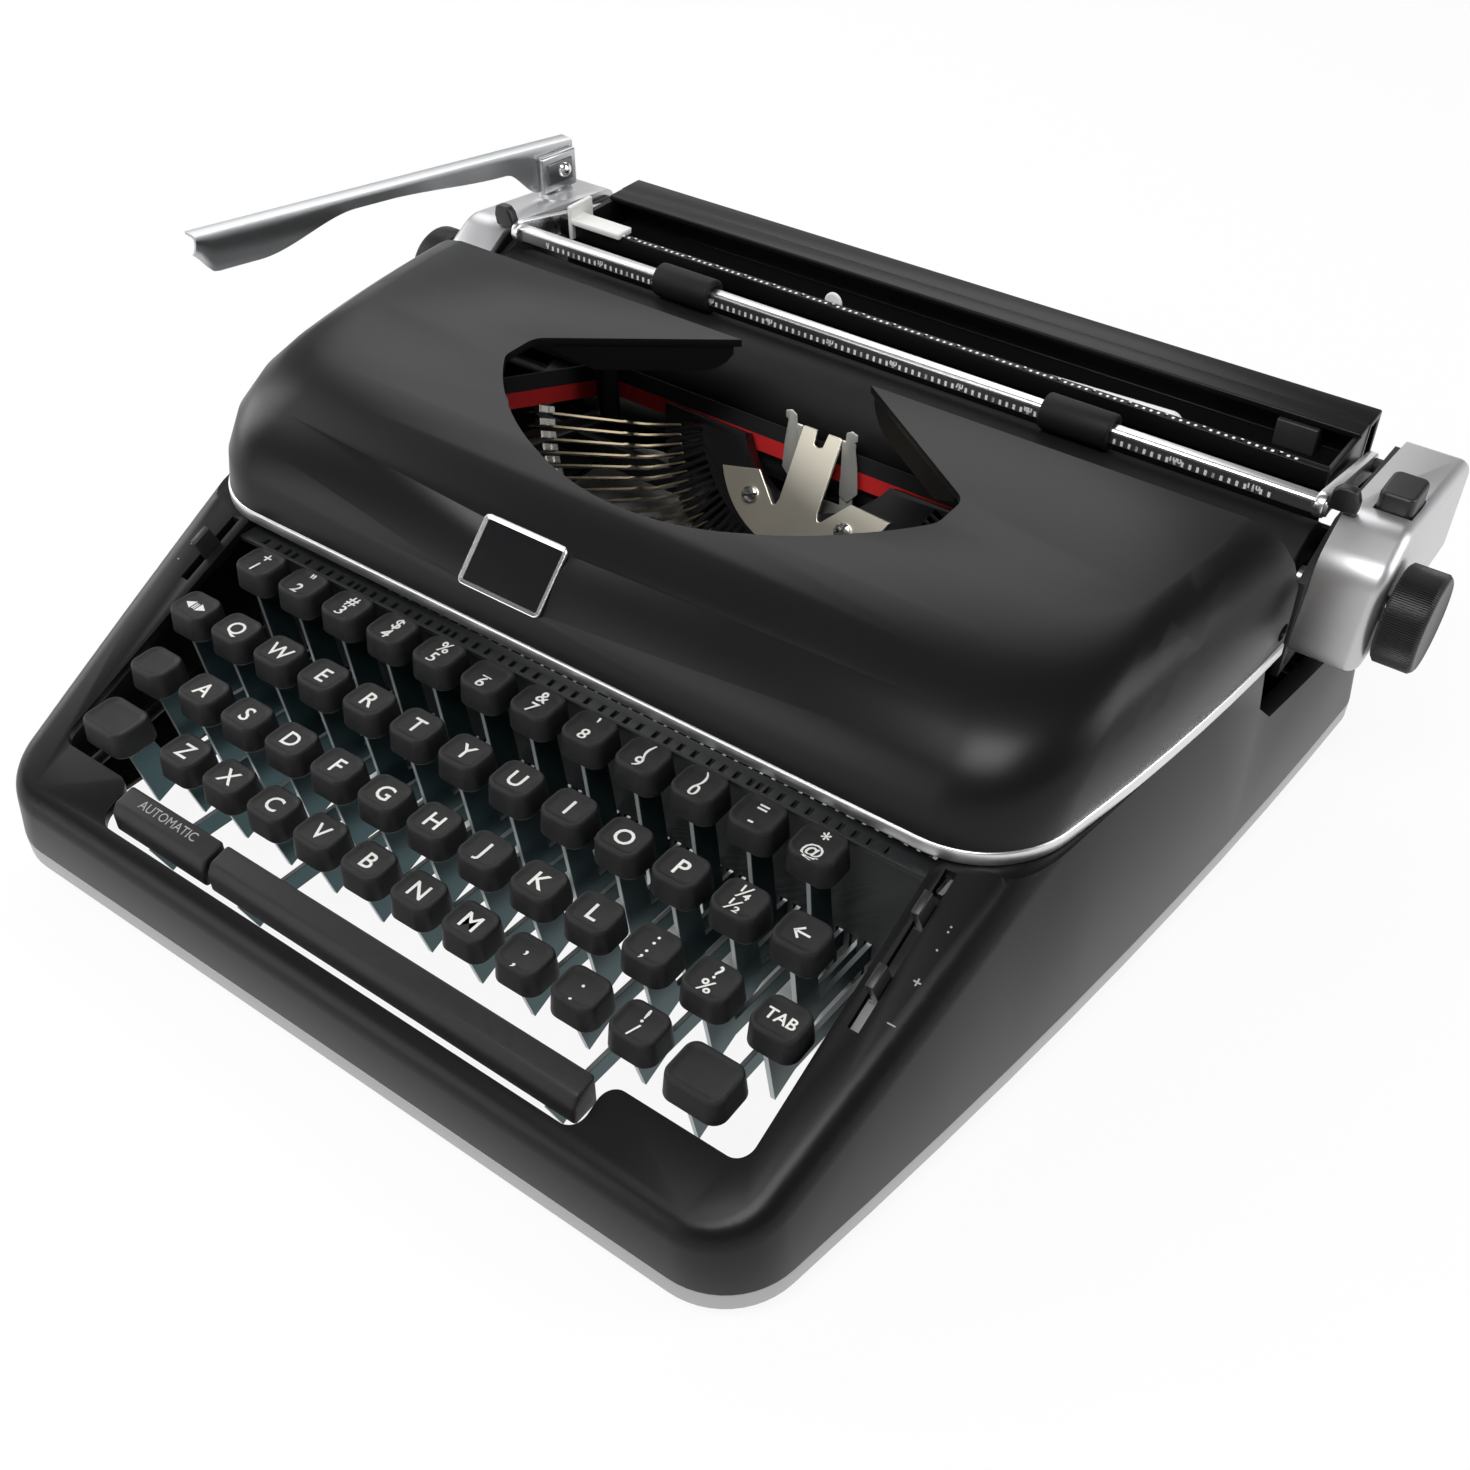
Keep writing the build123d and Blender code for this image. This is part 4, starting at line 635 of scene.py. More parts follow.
def slotted_screw(name, radius, height):
    """Round screw head with a slot along X, standing on the origin."""
    profile = ((1, 0), (1, 0.55), (0.93, 0.85), (0.8, 1.0))
    head = added(name, turned([(radius * share, height * rise) for share, rise in profile], 32))
    slot = added(name + "_slot", boxes(((3 * radius, 0.32 * radius, height), (0, 0, height))))
    cut = head.modifiers.new("slot", "BOOLEAN")
    cut.object = slot
    cut.solver = "EXACT"
    baked(head)
    bpy.data.objects.remove(slot)
    return head


basket_place = laid_out(platen_axis + strike_out * (platen_radius + print_gap), across, strike_up, strike_out)
right_edge = [
    (1.7, -12.4), (2.3, -7.4), (7.2, -7.4), (7.8, -8.2), (7.8, -33.6), (8.6, -35.8), (9.8, -36),
    (18.6, -26.6),
]
arc_turns = [math.radians(angle) for angle in range(-23, -158, -5)]
guide_arc = [(guide_radius * math.cos(a), guide_radius * math.sin(a) + guide_centre) for a in arc_turns]
guide_outline = [(0, -13)] + right_edge + guide_arc + [(-x, y) for x, y in reversed(right_edge)]
guide = added("type_guide_plate", plate(guide_outline, guide_back, guide_face), basket_place)
stands_for(settle(broken_edges(guide, 0.2), nickel, 15), "type_guide")
for side, turn in ((-1, 0.4), (1, 1.2)):
    screw = slotted_screw("guide_screw", screw_radius, screw_height)
    spot = Matrix.Translation((side * screw_x, screw_y, guide_face * mm)) @ Matrix.Rotation(turn, 4, "Z")
    screw.data.transform(basket_place @ spot)
    carried(settle(screw, bright_screw), "type_guide")


# Typebars: a fan of forty-four stamped bars pivoted in the slots of the segment, cranked near the pivot.
# The bars are straw-coloured steel. Each carries a nickel type slug with its two letters raised on the face.
bar_steel = surface("bar_steel", (0.18, 0.15, 0.1), 0.3, 1.0, mottle=150, spread=0.3, depth=0.01)
slug_nickel = surface("slug_nickel", (0.3, 0.295, 0.28), 0.28, 1.0, mottle=300, spread=0.3, depth=0.02)
bar_count, bar_span, struck = 44, math.radians(136), 22
bar_length, pivot_depth, rest_lean = 62.0, 3.0, math.radians(102)
bar_half, eye_radius = 0.35, 2.4
bar_along = Vector((0, math.cos(rest_lean), math.sin(rest_lean)))
bar_front = Vector((0, -math.sin(rest_lean), math.cos(rest_lean)))
bar_place = laid_out((0, -bar_length * mm, -pivot_depth * mm), across, bar_along, bar_front)
strike_turn = Matrix.Rotation(bar_span * (struck / (bar_count - 1) - 0.5), 4, "Z")
eye_turns = [math.radians(150 + 150 * step / 8) for step in range(9)]
bar_outline = [(eye_radius * math.cos(a), eye_radius * math.sin(a)) for a in eye_turns] + [
    (3, -0.6), (11.4, 4.4), (17, 5.0), (18, 4.3), (22, 4.3), (23, 5.0), (59, 5.0), (59.4, 3),
    (64.6, 3), (64.6, 7.2), (11, 7.2), (9.6, 6.6),
]
bar_unit = plate(bar_outline, -bar_half, bar_half, 0)
slug_unit = boxes(
    ((2.2, 6.6, 2.4), (0, 62, 0.5)), ((1.6, 3.2, 1.4), (0, 62, 2.3)),
    ((1.9, 2.0, 0.5), (0, 60.4, -0.9)), ((1.9, 2.0, 0.5), (0, 63.7, -0.9)),
)
for part, unit, material in (("typebar", bar_unit, bar_steel), ("slug", slug_unit, slug_nickel)):
    unit.transform(bar_place)
    fan = copied(part + "_fan", unit.copy(), material, bar_count, span=bar_span, empty=struck)
    single = added("strike_" + part, unit, strike_turn)
    for piece, node in ((fan, "typebars"), (single, "strike_typebar")):
        piece.data.transform(basket_place)
        settle(piece, material)
        if part == "typebar":
            stands_for(piece, node)
        else:
            carried(piece, node)


# Ribbon vibrator: a thin steel fork behind the crossmember that lifts the ribbon to the print point.
# Its two hooked fingers stand up on either side of the type guide's tongue and hold the ribbon between them.
bright_plate = surface("bright_plate", (0.72, 0.72, 0.68), 0.45, 0.6, mottle=80, spread=0.08, depth=0.01)
stem = merged_copy("ribbon_vibrator", "vibrator_stem")
stands_for(settle(broken_edges(stem, 0.15), bright_plate), "ribbon_vibrator")
fork_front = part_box("ribbon_vibrator")[0].y / mm
finger_front, finger_back = fork_front - 0.8, fork_front - 0.05
finger = [
    (8.2, 63), (11.5, 61.5), (15.4, 66), (14.6, 76), (13.2, 85.4), (14.2, 86), (14.2, 88.4), (12, 89.2),
    (10, 88), (9, 74), (8.2, 69),
]
for side in (-1, 1):
    outline = [(side * x, z) for x, z in finger]
    hook = added("vibrator_finger", plate(outline, finger_front, finger_back, 1))
    carried(settle(broken_edges(hook, 0.2), bright_plate), "ribbon_vibrator")


# Spool cups: pressed steel cups on the side plates, painted black like the body.
# Each carries a spindle for its spool and a smooth post that turns the ribbon towards the middle.
dressed("spool_cups", satin_black, 0.3)


# Ribbon spools: black plastic flanges with the ribbon wound between them, loose on their spindles.
# Three windows in each flange show how much ribbon is left.
spool_plastic = surface("spool_plastic", (0.02, 0.02, 0.02), 0.4, spread=0.1)
dressed("left_spool", spool_plastic, 0.3)
dressed("right_spool", spool_plastic, 0.3)


# Ribbon: inked cotton tape, its upper half black and its lower half red, 13 mm wide.
# It runs from one spool round both posts to the other, threaded through the vibrator's fingers.
ribbon_low, ribbon_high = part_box("ribbon")
ribbon_width = ribbon_high.z - ribbon_low.z
tape_thick, tape_rows = 0.3 * mm, 8
band_radius, roll_radius = 4.5 * mm, 16.5 * mm
post_x, post_behind = 92 * mm, 56.6 * mm
turn_steps, run_steps = 10, 40


def woven_tape(name, red):
    """Inked cloth with a fine plain weave, black over red."""
    material = surface(name, (0.012, 0.012, 0.014), 0.8, mottle=300, spread=0.3, grain=6000, depth=0.05)
    tree = material.node_tree
    place = tree.nodes["Texture Coordinate"].outputs["UV"]
    height = wired(tree, "ShaderNodeSeparateXYZ", {"Vector": place}).outputs["Y"]
    two_tone(material, reckoned(tree, "GREATER_THAN", height, 0.5), red)
    threads = wired(tree, "ShaderNodeMapping", {"Vector": place, "Scale": (900, 50, 1)})
    weave = wired(tree, "ShaderNodeTexChecker", {"Vector": threads.outputs["Vector"], "Scale": 1})
    feed(tree, tree.nodes["Bump"], {"Height": weave.outputs["Fac"]})
    return material


def tape(name, path):
    """A thin band on edge along a path in plan, with its length along U and its width along V."""
    run = [0.0]
    for before, after in zip(path, path[1:]):
        run.append(run[-1] + (after - before).length)
    shares = [row / tape_rows for row in range(tape_rows + 1)]
    loops, marks = [], []
    for index, point in enumerate(path):
        along = (path[min(len(path) - 1, index + 1)] - path[max(0, index - 1)]).normalized()
        out = Vector((-along.y, along.x, 0)) * tape_thick / 2
        rim = [(point - out, share) for share in shares]
        rim += [(point + out, share) for share in reversed(shares)]
        loops.append([spot + upright * (ribbon_low.z + ribbon_width * share) for spot, share in rim])
        marks += [(run[index] / run[-1], share) for spot, share in rim]
    mesh = stacked(loops)
    layer = mesh.uv_layers.new(name="UVMap")
    for corner in mesh.loops:
        layer.data[corner.index].uv = marks[corner.vertex_index]
    return added(name, mesh), run[-1]


ribbon_cloth = woven_tape("ribbon_cloth", (0.74, 0.018, 0.02))
spool_middle = middle_of("right_spool")
spool_middle.z = 0
post_middle = Vector((post_x, spool_middle.y + post_behind, 0))
reach = post_middle - spool_middle
lead = (roll_radius - band_radius) / reach.length
ahead = reach.normalized()
tangent = ahead * lead + Vector((ahead.y, -ahead.x, 0)) * math.sqrt(1 - lead**2)
turn_from = math.atan2(tangent.y, tangent.x)
right_path = [spool_middle + tangent * roll_radius]
for step in range(turn_steps + 1):
    angle = turn_from + (math.pi / 2 - turn_from) * step / turn_steps
    right_path.append(post_middle + band_radius * Vector((math.cos(angle), math.sin(angle), 0)))
run_y = post_middle.y + band_radius
for step in range(1, run_steps + 1):
    right_path.append(Vector((post_x * (1 - step / run_steps), run_y, 0)))
for side, name in ((1, "right_ribbon"), (-1, "left_ribbon")):
    band, length = tape(name, [Vector((side * point.x, point.y, 0)) for point in right_path])
    band.data.materials.append(ribbon_cloth)
    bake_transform(band)
    if side > 0:
        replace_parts(band, "ribbon")


# Top cover: a pressed steel lid, sprayed like the body, with a window cut over the type basket.
# It turns on two pins at its rear corners and rests on the deck by its trim band.
dressed("top_cover", satin_black, 0.6, 3, 40)


# Window skirts: the cover's sheet is turned down along the two rear edges of the window.
# They stiffen the prongs that reach over the ends of the ribbon, and are painted with the cover.
cover_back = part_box("top_cover")[1].y
cover_skin = skin_of(frame["nodes"]["top_cover"].data)
prong_root = Vector((80 * mm, cover_back - 38.5 * mm))
prong_tip = Vector((21 * mm, cover_back + 2.6 * mm))
prong_inward = Vector((prong_root.y - prong_tip.y, prong_tip.x - prong_root.x)).normalized()
prong_inward *= -1 if prong_inward.y < 0 else 1
skirt_drop, skirt_thick, skirt_gap, skirt_sink = 11 * mm, 1.4 * mm, 0.3 * mm, 0.6 * mm
skirt_steps, skirt_from, skirt_share = 24, 0.08, 0.82
root_share, root_steps, round_from, round_steps = 0.35, 8, 19.5, 5
for side in (-1, 1):
    loops = []
    for step in range(skirt_steps + 1):
        edge = prong_root.lerp(prong_tip, skirt_from + skirt_share * step / skirt_steps)
        near = edge + prong_inward * skirt_gap
        far = edge + prong_inward * (skirt_gap + skirt_thick)
        probe = Vector((side * (near.x + far.x) / 2, (near.y + far.y) / 2, 1))
        top = cover_skin.ray_cast(probe, -upright)[0].z - skirt_sink
        rounding = math.sqrt(1 - max(0, (step - round_from) / round_steps) ** 2)
        drop = skirt_drop * min(1, root_share + step / root_steps) * rounding
        corners = ((near, top), (far, top), (far, top - drop), (near, top - drop))
        loops.append([Vector((side * spot.x, spot.y, z)) for spot, z in corners])
    carried(settle(added("window_skirt", stacked(loops)), satin_black), "top_cover")


# Cover trim: the same drawn aluminium as the base band, bent round the foot of the cover, painted lighter
# than the band as painted highlight.
# It is crimped on, and its lower edge shows as a bright line above the keyboard.
# Lighter copy of the trim aluminium: painted highlight up on the cover.
painted_highlight_silver = drawn_metal("painted_highlight_silver", (0.74, 0.74, 0.75), 0.34)
dressed("cover_trim", painted_highlight_silver, 0.8, 3)


# Badge: a small stamped plate let into the front of the cover, with a bright rim round an enamelled field.
# The field is dark and bare.
rim_chrome = surface("rim_chrome", (0.85, 0.85, 0.85), 0.24, 1.0, mottle=30, spread=0.05, depth=0.006)
enamel = surface("enamel", (0.008, 0.008, 0.009), 0.16, mottle=200, spread=0.2, grain=1200, depth=0.01)
rim_width, rim_depth, field_lift = 1.5 * mm, 0.5 * mm, 0.03 * mm
badge = merged_copy("badge_plate", "badge_rim")
shape = opened(badge.data)
face = max(shape.faces, key=lambda f: f.calc_area() * (f.normal.z > 0))
bmesh.ops.inset_region(shape, faces=[face], thickness=rim_width, depth=-rim_depth)
field_loop = [v.co + face.normal * field_lift for v in face.verts]
written(shape, badge.data)
stands_for(settle(broken_edges(badge, 0.45, 3), rim_chrome), "badge_plate")
shape = bmesh.new()
shape.faces.new([shape.verts.new(point) for point in field_loop])
carried(settle(added("badge_field", written(shape)), enamel), "badge_plate")


# Carriage frame: a folded steel channel that runs on the rail, with a plate at each end.
# The plates carry the platen, the two feed rollers, the bail and the end covers.
dressed("carriage_frame", dark_steel, 0.3)


# Platen and feed rollers: hard black rubber turned true on steel, the feed rollers pressed up from below.
# The platen's shaft runs out through both end covers to the knobs.
platen_rubber = surface("platen_rubber", (0.009, 0.009, 0.0095), 0.55, mottle=60, spread=0.15, shine=0.2)
dressed("platen", platen_rubber, 0.5)
dressed("front_feed_roller", platen_rubber, 0.3)
dressed("rear_feed_roller", platen_rubber, 0.3)
dressed("platen_shaft", screw_steel, 0.3)


# Platen knobs: black plastic, finely ribbed for the fingers and chamfered at the outer end.
# Each is pinned to the end of the platen shaft.
black_plastic = surface(
    "black_plastic", (0.011, 0.011, 0.0115), 0.42, mottle=120, spread=0.2, grain=2600, depth=0.03
)
knob_ribs, rib_points, rib_depth, knob_width, rim_bevel = 132, 4, 0.45 * mm, 12.5 * mm, 1.4 * mm
knob_low, knob_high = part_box("platen_knobs")
knob_radius, knob_end = (knob_high.z - knob_low.z) / 2, knob_high.x
knob_profile = (
    (knob_end - knob_width, 0.93, 0), (knob_end - knob_width + 0.9 * mm, 1, 1), (knob_end - rim_bevel, 1, 1),
    (knob_end - 0.3 * mm, 0.94, 0), (knob_end, 0.9, 0), (knob_end - 0.3 * mm, 0.84, 0),
    (knob_end - 0.7 * mm, 0.3, 0),
)
for side in (-1, 1):
    loops = []
    for x, share, ribbed in knob_profile:
        loop = []
        for step in range(knob_ribs * rib_points):
            angle = 2 * math.pi * step / (knob_ribs * rib_points)
            radius = knob_radius * share - ribbed * rib_depth * (step % rib_points > 1)
            loop.append(platen_axis + Vector((side * x, radius * math.cos(angle), radius * math.sin(angle))))
        loops.append(loop)
    stands_for(settle(added("platen_knob", stacked(loops)), black_plastic), "platen_knobs")


# Paper table: folded sheet behind the platen, with a trough for the paper support, painted satin black.
# A dark block in the trough is the stop for the support's right end.
stop_grey = surface("stop_grey", (0.03, 0.03, 0.032), 0.45, mottle=150, spread=0.2)
dressed("paper_table", satin_black, 0.7, 3)
trough_back, trough_half, trough_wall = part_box("paper_table")[1].y / mm - 11, 152.8, 2.4
trough_front, trough_floor, trough_top = trough_back - 33, 86.5, 99.6
stop_left, stop_right, stop_front, stop_low, stop_high = 126, 140, trough_back - 9, 88.4, 98
lip_front, lip_back, lip_low, lip_high = trough_back - 8, trough_back + 2, 98.6, 100.95


def rounded_block(name, low, high, material, node, slot=None, width=0.6):
    """A block between two corners in millimetres, with rounded edges, carried like a node."""
    low, high = Vector(low), Vector(high)
    piece = broken_edges(added(name, boxes((high - low, (low + high) / 2))), width, 3)
    return carried(settle(piece, material), node)


rounded_block("support_stop", (stop_left, stop_front, stop_low), (stop_right, trough_back, stop_high),
              stop_grey, "paper_table", "black_plastic")
rounded_block("table_lip", (-trough_half, lip_front, lip_low), (trough_half, lip_back, lip_high),
              satin_black, "paper_table", width=0.7)
for left in (-trough_half, trough_half - trough_wall):
    right = left + trough_wall
    rounded_block("trough_end", (left, trough_front, trough_floor), (right, trough_back, trough_top),
                  satin_black, "paper_table", width=0.5)


# Rest bar: a flat strip along the front of the paper table, with a scale of fine white marks on its top edge.
# A small white disc behind it is the centre pointer.
scale_white = surface("scale_white", (0.85, 0.85, 0.82), 0.6, mottle=300, spread=0.1)
white_plastic = surface("white_plastic", (0.78, 0.78, 0.76), 0.4, mottle=90, spread=0.06)
dressed("paper_rest_bar", satin_black, 0.4)
rest_low, rest_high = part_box("paper_rest_bar")
char_pitch, scale_marks = 2.54 * mm, 113
scale_first = -(scale_marks - 1) / 2 * char_pitch
tick_width, tick_height, tick_growth, mark_length = 0.9, 0.06, 1.6, 1.1
marks_y, marks_z = rest_low.y + 1.2 * mm, rest_high.z + 0.02 * mm
disc_radius, disc_gap, disc_x, disc_z = 3.4, 0.1, -29 * mm, rest_high.z - 0.2 * mm


def scale_row(name, y, z, tilt, length, node):
    """Marks at every letter, longer at every fifth, on a face leaning forward by the tilt."""
    for part, size, every in (("short", length, 1), ("long", tick_growth * length, 5)):
        unit = boxes(((tick_width, size, tick_height), (0, (size - length) / 2, 0)))
        unit.transform(Matrix.Rotation(tilt, 4, "X"))
        marks = copied(name + "_" + part, unit, scale_white, (scale_marks - 1) // every + 1,
                       (scale_first, y, z), (every * char_pitch, 0, 0))
        carried(marks, node)


scale_row("rest_marks", marks_y, marks_z, 0, mark_length, "paper_rest_bar")
disc_profile = [
    (disc_radius * share, -disc_gap - y) for share, y in ((0.86, 0), (1, 0.35), (1, 1.1), (0.86, 1.45))
]
disc_place = Matrix.Translation((disc_x, rest_high.y, disc_z)) @ Matrix.Rotation(math.pi / 2, 4, "X")
pointer = added("centre_pointer", turned(disc_profile, 40), disc_place)
carried(settle(pointer, white_plastic), "paper_rest_bar")


# Paper bail: a bright drawn bar with a letter scale on its front face, between two flat steel arms.
# It swings up on pins in the end plates, and a black ear at each end lifts it.
bar_chrome = drawn_metal("bar_chrome", (0.8, 0.8, 0.81), 0.3, stretch=(4, 900, 900), streak=0.3)
scale_steel = surface("scale_steel", (0.3, 0.3, 0.31), 0.4, 0.9, mottle=60, spread=0.1, depth=0.008)
bail_half, scale_half, strip_lean = 160, 155, math.radians(90) - math.atan2(0.34, 3.9)
bail_mark, number_height, number_weight = 2.6, 2 * mm, 0.1 * mm
arm_inner, arm_outer, arm_radius, arm_steps = 156, 159, 4, 12
ear_half, ear_lean = 2, 0.12


def joint_place(name):
    """Where the axis of a joint passes."""
    joints = frame["record"]["behaviour"]["joints"]
    return Vector(next(joint for joint in joints if joint["name"] == name)["pos_m"])


bail_pivot = joint_place("bail_lift")
bail_axis = middle_of("bail_rollers")
bail_axis.x = 0
bail_place = Matrix.Translation(bail_axis)
bar_section = ((-1.9, -2.9), (-2.3, 1.7), (-1.5, 2.5), (1.7, 2.6), (2.3, -2.4))
bar = added("bail_bar", plate(bar_section, -bail_half, bail_half, 0), bail_place)
stands_for(settle(broken_edges(bar, 0.35, 3), bar_chrome), "paper_bail")
strip_section = ((-1.97, -2.6), (-2.31, 1.3), (-2.2, 1.3), (-1.8, -2.6))
strip = added("bail_scale", plate(strip_section, -scale_half, scale_half, 0), bail_place)
carried(settle(strip, scale_steel), "paper_bail")
mark_y, mark_z = bail_axis.y - 2.16 * mm, bail_axis.z - 0.9 * mm
number_y, number_z = bail_axis.y - 2.26 * mm, bail_axis.z - 0.3 * mm
scale_row("bail_marks", mark_y, mark_z, strip_lean, bail_mark, "paper_bail")
tens = []
for count in range(12):
    spot = (scale_first + 10 * count * char_pitch, number_y, number_z)
    tens.append((str(10 * count), Matrix.Translation(spot) @ Matrix.Rotation(strip_lean, 4, "X")))
lettering("bail_numbers", tens, number_height, scale_white, "paper_bail", number_weight)

arm_reach = bail_pivot - bail_axis
arm_turn = math.atan2(arm_reach.z, arm_reach.y)
arm_outline = []
for middle, start in ((bail_axis, arm_turn + math.pi / 2), (bail_pivot, arm_turn - math.pi / 2)):
    for step in range(arm_steps + 1):
        angle = start + math.pi * step / arm_steps
        arm_outline.append(
            (middle.y / mm + arm_radius * math.cos(angle), middle.z / mm + arm_radius * math.sin(angle))
        )
ear_outline = (
    (158.5, 0.6), (168, 0.6), (168.2, 5), (167, 8.6), (164.6, 9.2), (161.6, 9), (160, 7), (159.4, 3.5),
)
ear_place = bail_place.copy()
ear_place[1][2] = -ear_lean
for side in (-1, 1):
    arm = added("bail_arm", plate(arm_outline, side * arm_inner, side * arm_outer, 0))
    carried(settle(broken_edges(arm, 0.4), bar_chrome), "paper_bail")
    outline = [(side * x, z) for x, z in ear_outline]
    ear = added("bail_ear", plate(outline, -ear_half, ear_half, 1), ear_place)
    carried(settle(broken_edges(ear, 0.8, 3), black_plastic), "paper_bail")


# Bail rollers: soft black sleeves that press the paper to the platen, free to turn on the bar.
# A narrow collar stands at each end of a sleeve.
dressed("bail_rollers", platen_rubber, 0.8, 3)


# End covers: moulded caps over the ends of the carriage, sprayed a smooth silver.
# The left one carries the pin of the return lever and the right one the release key.
silver_paint = surface(
    "silver_paint", (0.58, 0.58, 0.59), 0.38, 0.8, mottle=20, spread=0.03, grain=3000, depth=0.01
)
dressed("right_end_cover", silver_paint, 0.4)
hub_height, cut_width = 14.5 * mm, 0.001 * mm
hub_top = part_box("return_lever")[0].z + hub_height
left_cap = merged_copy("left_end_cover", "left_end_cover_skin")
shape = opened(left_cap.data)
bmesh.ops.bisect_plane(shape, geom=shape.verts[:] + shape.edges[:] + shape.faces[:], dist=cut_width,
                       plane_co=(0, 0, hub_top), plane_no=(0, 0, 1), clear_outer=True)
bmesh.ops.holes_fill(shape, edges=shape.edges)
written(shape, left_cap.data)
stands_for(settle(broken_edges(left_cap, 0.4), silver_paint), "left_end_cover")
dressed("carriage_release", black_plastic, 0.8, 3)


# Return lever: one stamping of polished steel, folded along its top and curled into a paddle at the end.
# Its foot turns on the pin in the left end cover, with a domed screw on a thin dark plate that is painted
# shade for a recess in the foot.
polished = surface(
    "polished_steel", (0.5, 0.51, 0.52), 0.34, 1.0, mottle=25, spread=0.08, grain=900, depth=0.006
)
recess_shade_paint = surface("recess_shade_paint", (0.2, 0.205, 0.21), 0.35, 0.9, mottle=120, spread=0.15)
lever_pin = joint_place("return_lever_swing")
lever_pin.z = 0
tip_x, tip_ahead = -194.8 * mm, 156.5 * mm
lever_tip = Vector((tip_x, lever_pin.y - tip_ahead, 0))
lever_along = (lever_tip - lever_pin).normalized()
lever_out = Vector((lever_along.y, -lever_along.x, 0))
lever_start, lever_run, lever_steps, web_steps = -10, 168, 84, 6
pin_top, top_slope, foot_low = 119.6, 0.0911, 102
neck_depth, waist, paddle, paddle_curl = 8, 3, 10.4, 3.4
sheet_half, fold_width, fold_thick = 0.6, 5.4, 1.1
foot_corners = ((-9, -3.6, 101.7), (9, -0.2, 116.4))
recess_shade_corners = ((-6.5, -4.3, 105), (6.5, -3.2, 113.6))
dome_radius, dome_height, dome_foot = 3.1, 2.4, (-2, -4.1, 109.6)


def eased(value, low, high):
    """How far a value has come from low to high, starting and stopping softly."""
    share = min(1, max(0, (value - low) / (high - low)))
    return share * share * (3 - 2 * share)


def lever_section(along):
    """The folded sheet's outline at a distance from the pin, as widths and heights in millimetres."""
    top = pin_top + top_slope * along
    depth = neck_depth - waist * eased(along, 26, 80) + paddle * eased(along, 94, 134)
    depth += (top - foot_low - neck_depth) * (1 - eased(along, 8, 24))
    depth *= 1 - 0.5 * eased(along, 151, 159)
    low = top - depth
    curl = paddle_curl * eased(along, 96, 136)
    shares = [step / web_steps for step in range(web_steps + 1)]
    web = [(curl * (1 - share) ** 2, low + (depth - 1.2) * share) for share in shares]
    under = top - fold_thick
    fold = [(-0.35, top - 0.3), (0.3, top), (fold_width, top), (fold_width, under), (1.4, under)]
    front = [(out - sheet_half, z) for out, z in web]
    back = [(out + sheet_half, z - 0.4) for out, z in reversed(web[1:])]
    return front + fold + back + [(curl + sheet_half, low)]


lever_place = laid_out(lever_pin, lever_along, lever_out, upright)
sections = []
for step in range(lever_steps + 1):
    along = lever_start + lever_run * step / lever_steps
    sections.append([lever_place @ (Vector((along, out, z)) * mm) for out, z in lever_section(along)])
lever = added("return_lever_sheet", stacked(sections))
stands_for(settle(lever, polished, 40), "return_lever")
foot = rounded_block("lever_foot", *foot_corners, polished, "return_lever", "lever_steel", 1.0)
# A thin dark grey plate on the foot's face: painted shade for the recess round the screw.
clamp = rounded_block("lever_clamp", *recess_shade_corners, recess_shade_paint, "return_lever", "fastener_steel", 0.5)
for piece in (foot, clamp):
    piece.data.transform(lever_place)
    piece.data.update()
dome_profile = [
    (dome_radius * math.cos(rise), dome_height * math.sin(rise)) for rise in (0, 0.3, 0.6, 0.9, 1.2, 1.45)
]
dome_place = laid_out(lever_place @ (Vector(dome_foot) * mm), lever_along, upright, -lever_out)
dome = added("lever_screw", turned(dome_profile, 24), dome_place)
carried(settle(dome, rim_chrome), "return_lever")


# Paper guide and support: white plastic. The guide is an upright plate on a slide that runs on the rest bar.
# The support folds into the trough, and turns on a pin through the trough's front wall.
low, high = (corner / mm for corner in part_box("paper_guide"))
guide_front, guide_top, guide_thick, guide_behind = low.y + 0.2, high.z + 1, 2, 4
slide_left, slide_right, slide_back = low.x + 1, high.x + 5, high.y - 1
slide_low, slide_high = low.z + 6.2, low.z + 8.6
guide_plate = rounded_block(
    "paper_guide_plate", (low.x, guide_front, low.z), (low.x + guide_thick, high.y + guide_behind, guide_top),
    white_plastic, "paper_guide", width=0.7
)
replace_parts(guide_plate, "paper_guide")
rounded_block("paper_guide_slide", (slide_left, guide_front, slide_low),
              (slide_right, slide_back, slide_high), white_plastic, "paper_guide")
dressed("paper_support", white_plastic, 0.5, 3)


# Deck levers: small stamped levers in slots of the deck, for the ribbon colour, the touch and the tabulator.
# Each ends in a black plastic tip, which is what stands out of its slot.
for lever in ("ribbon_selector", "touch_control", "tab_lever"):
    dressed(lever, black_plastic, 0.3)


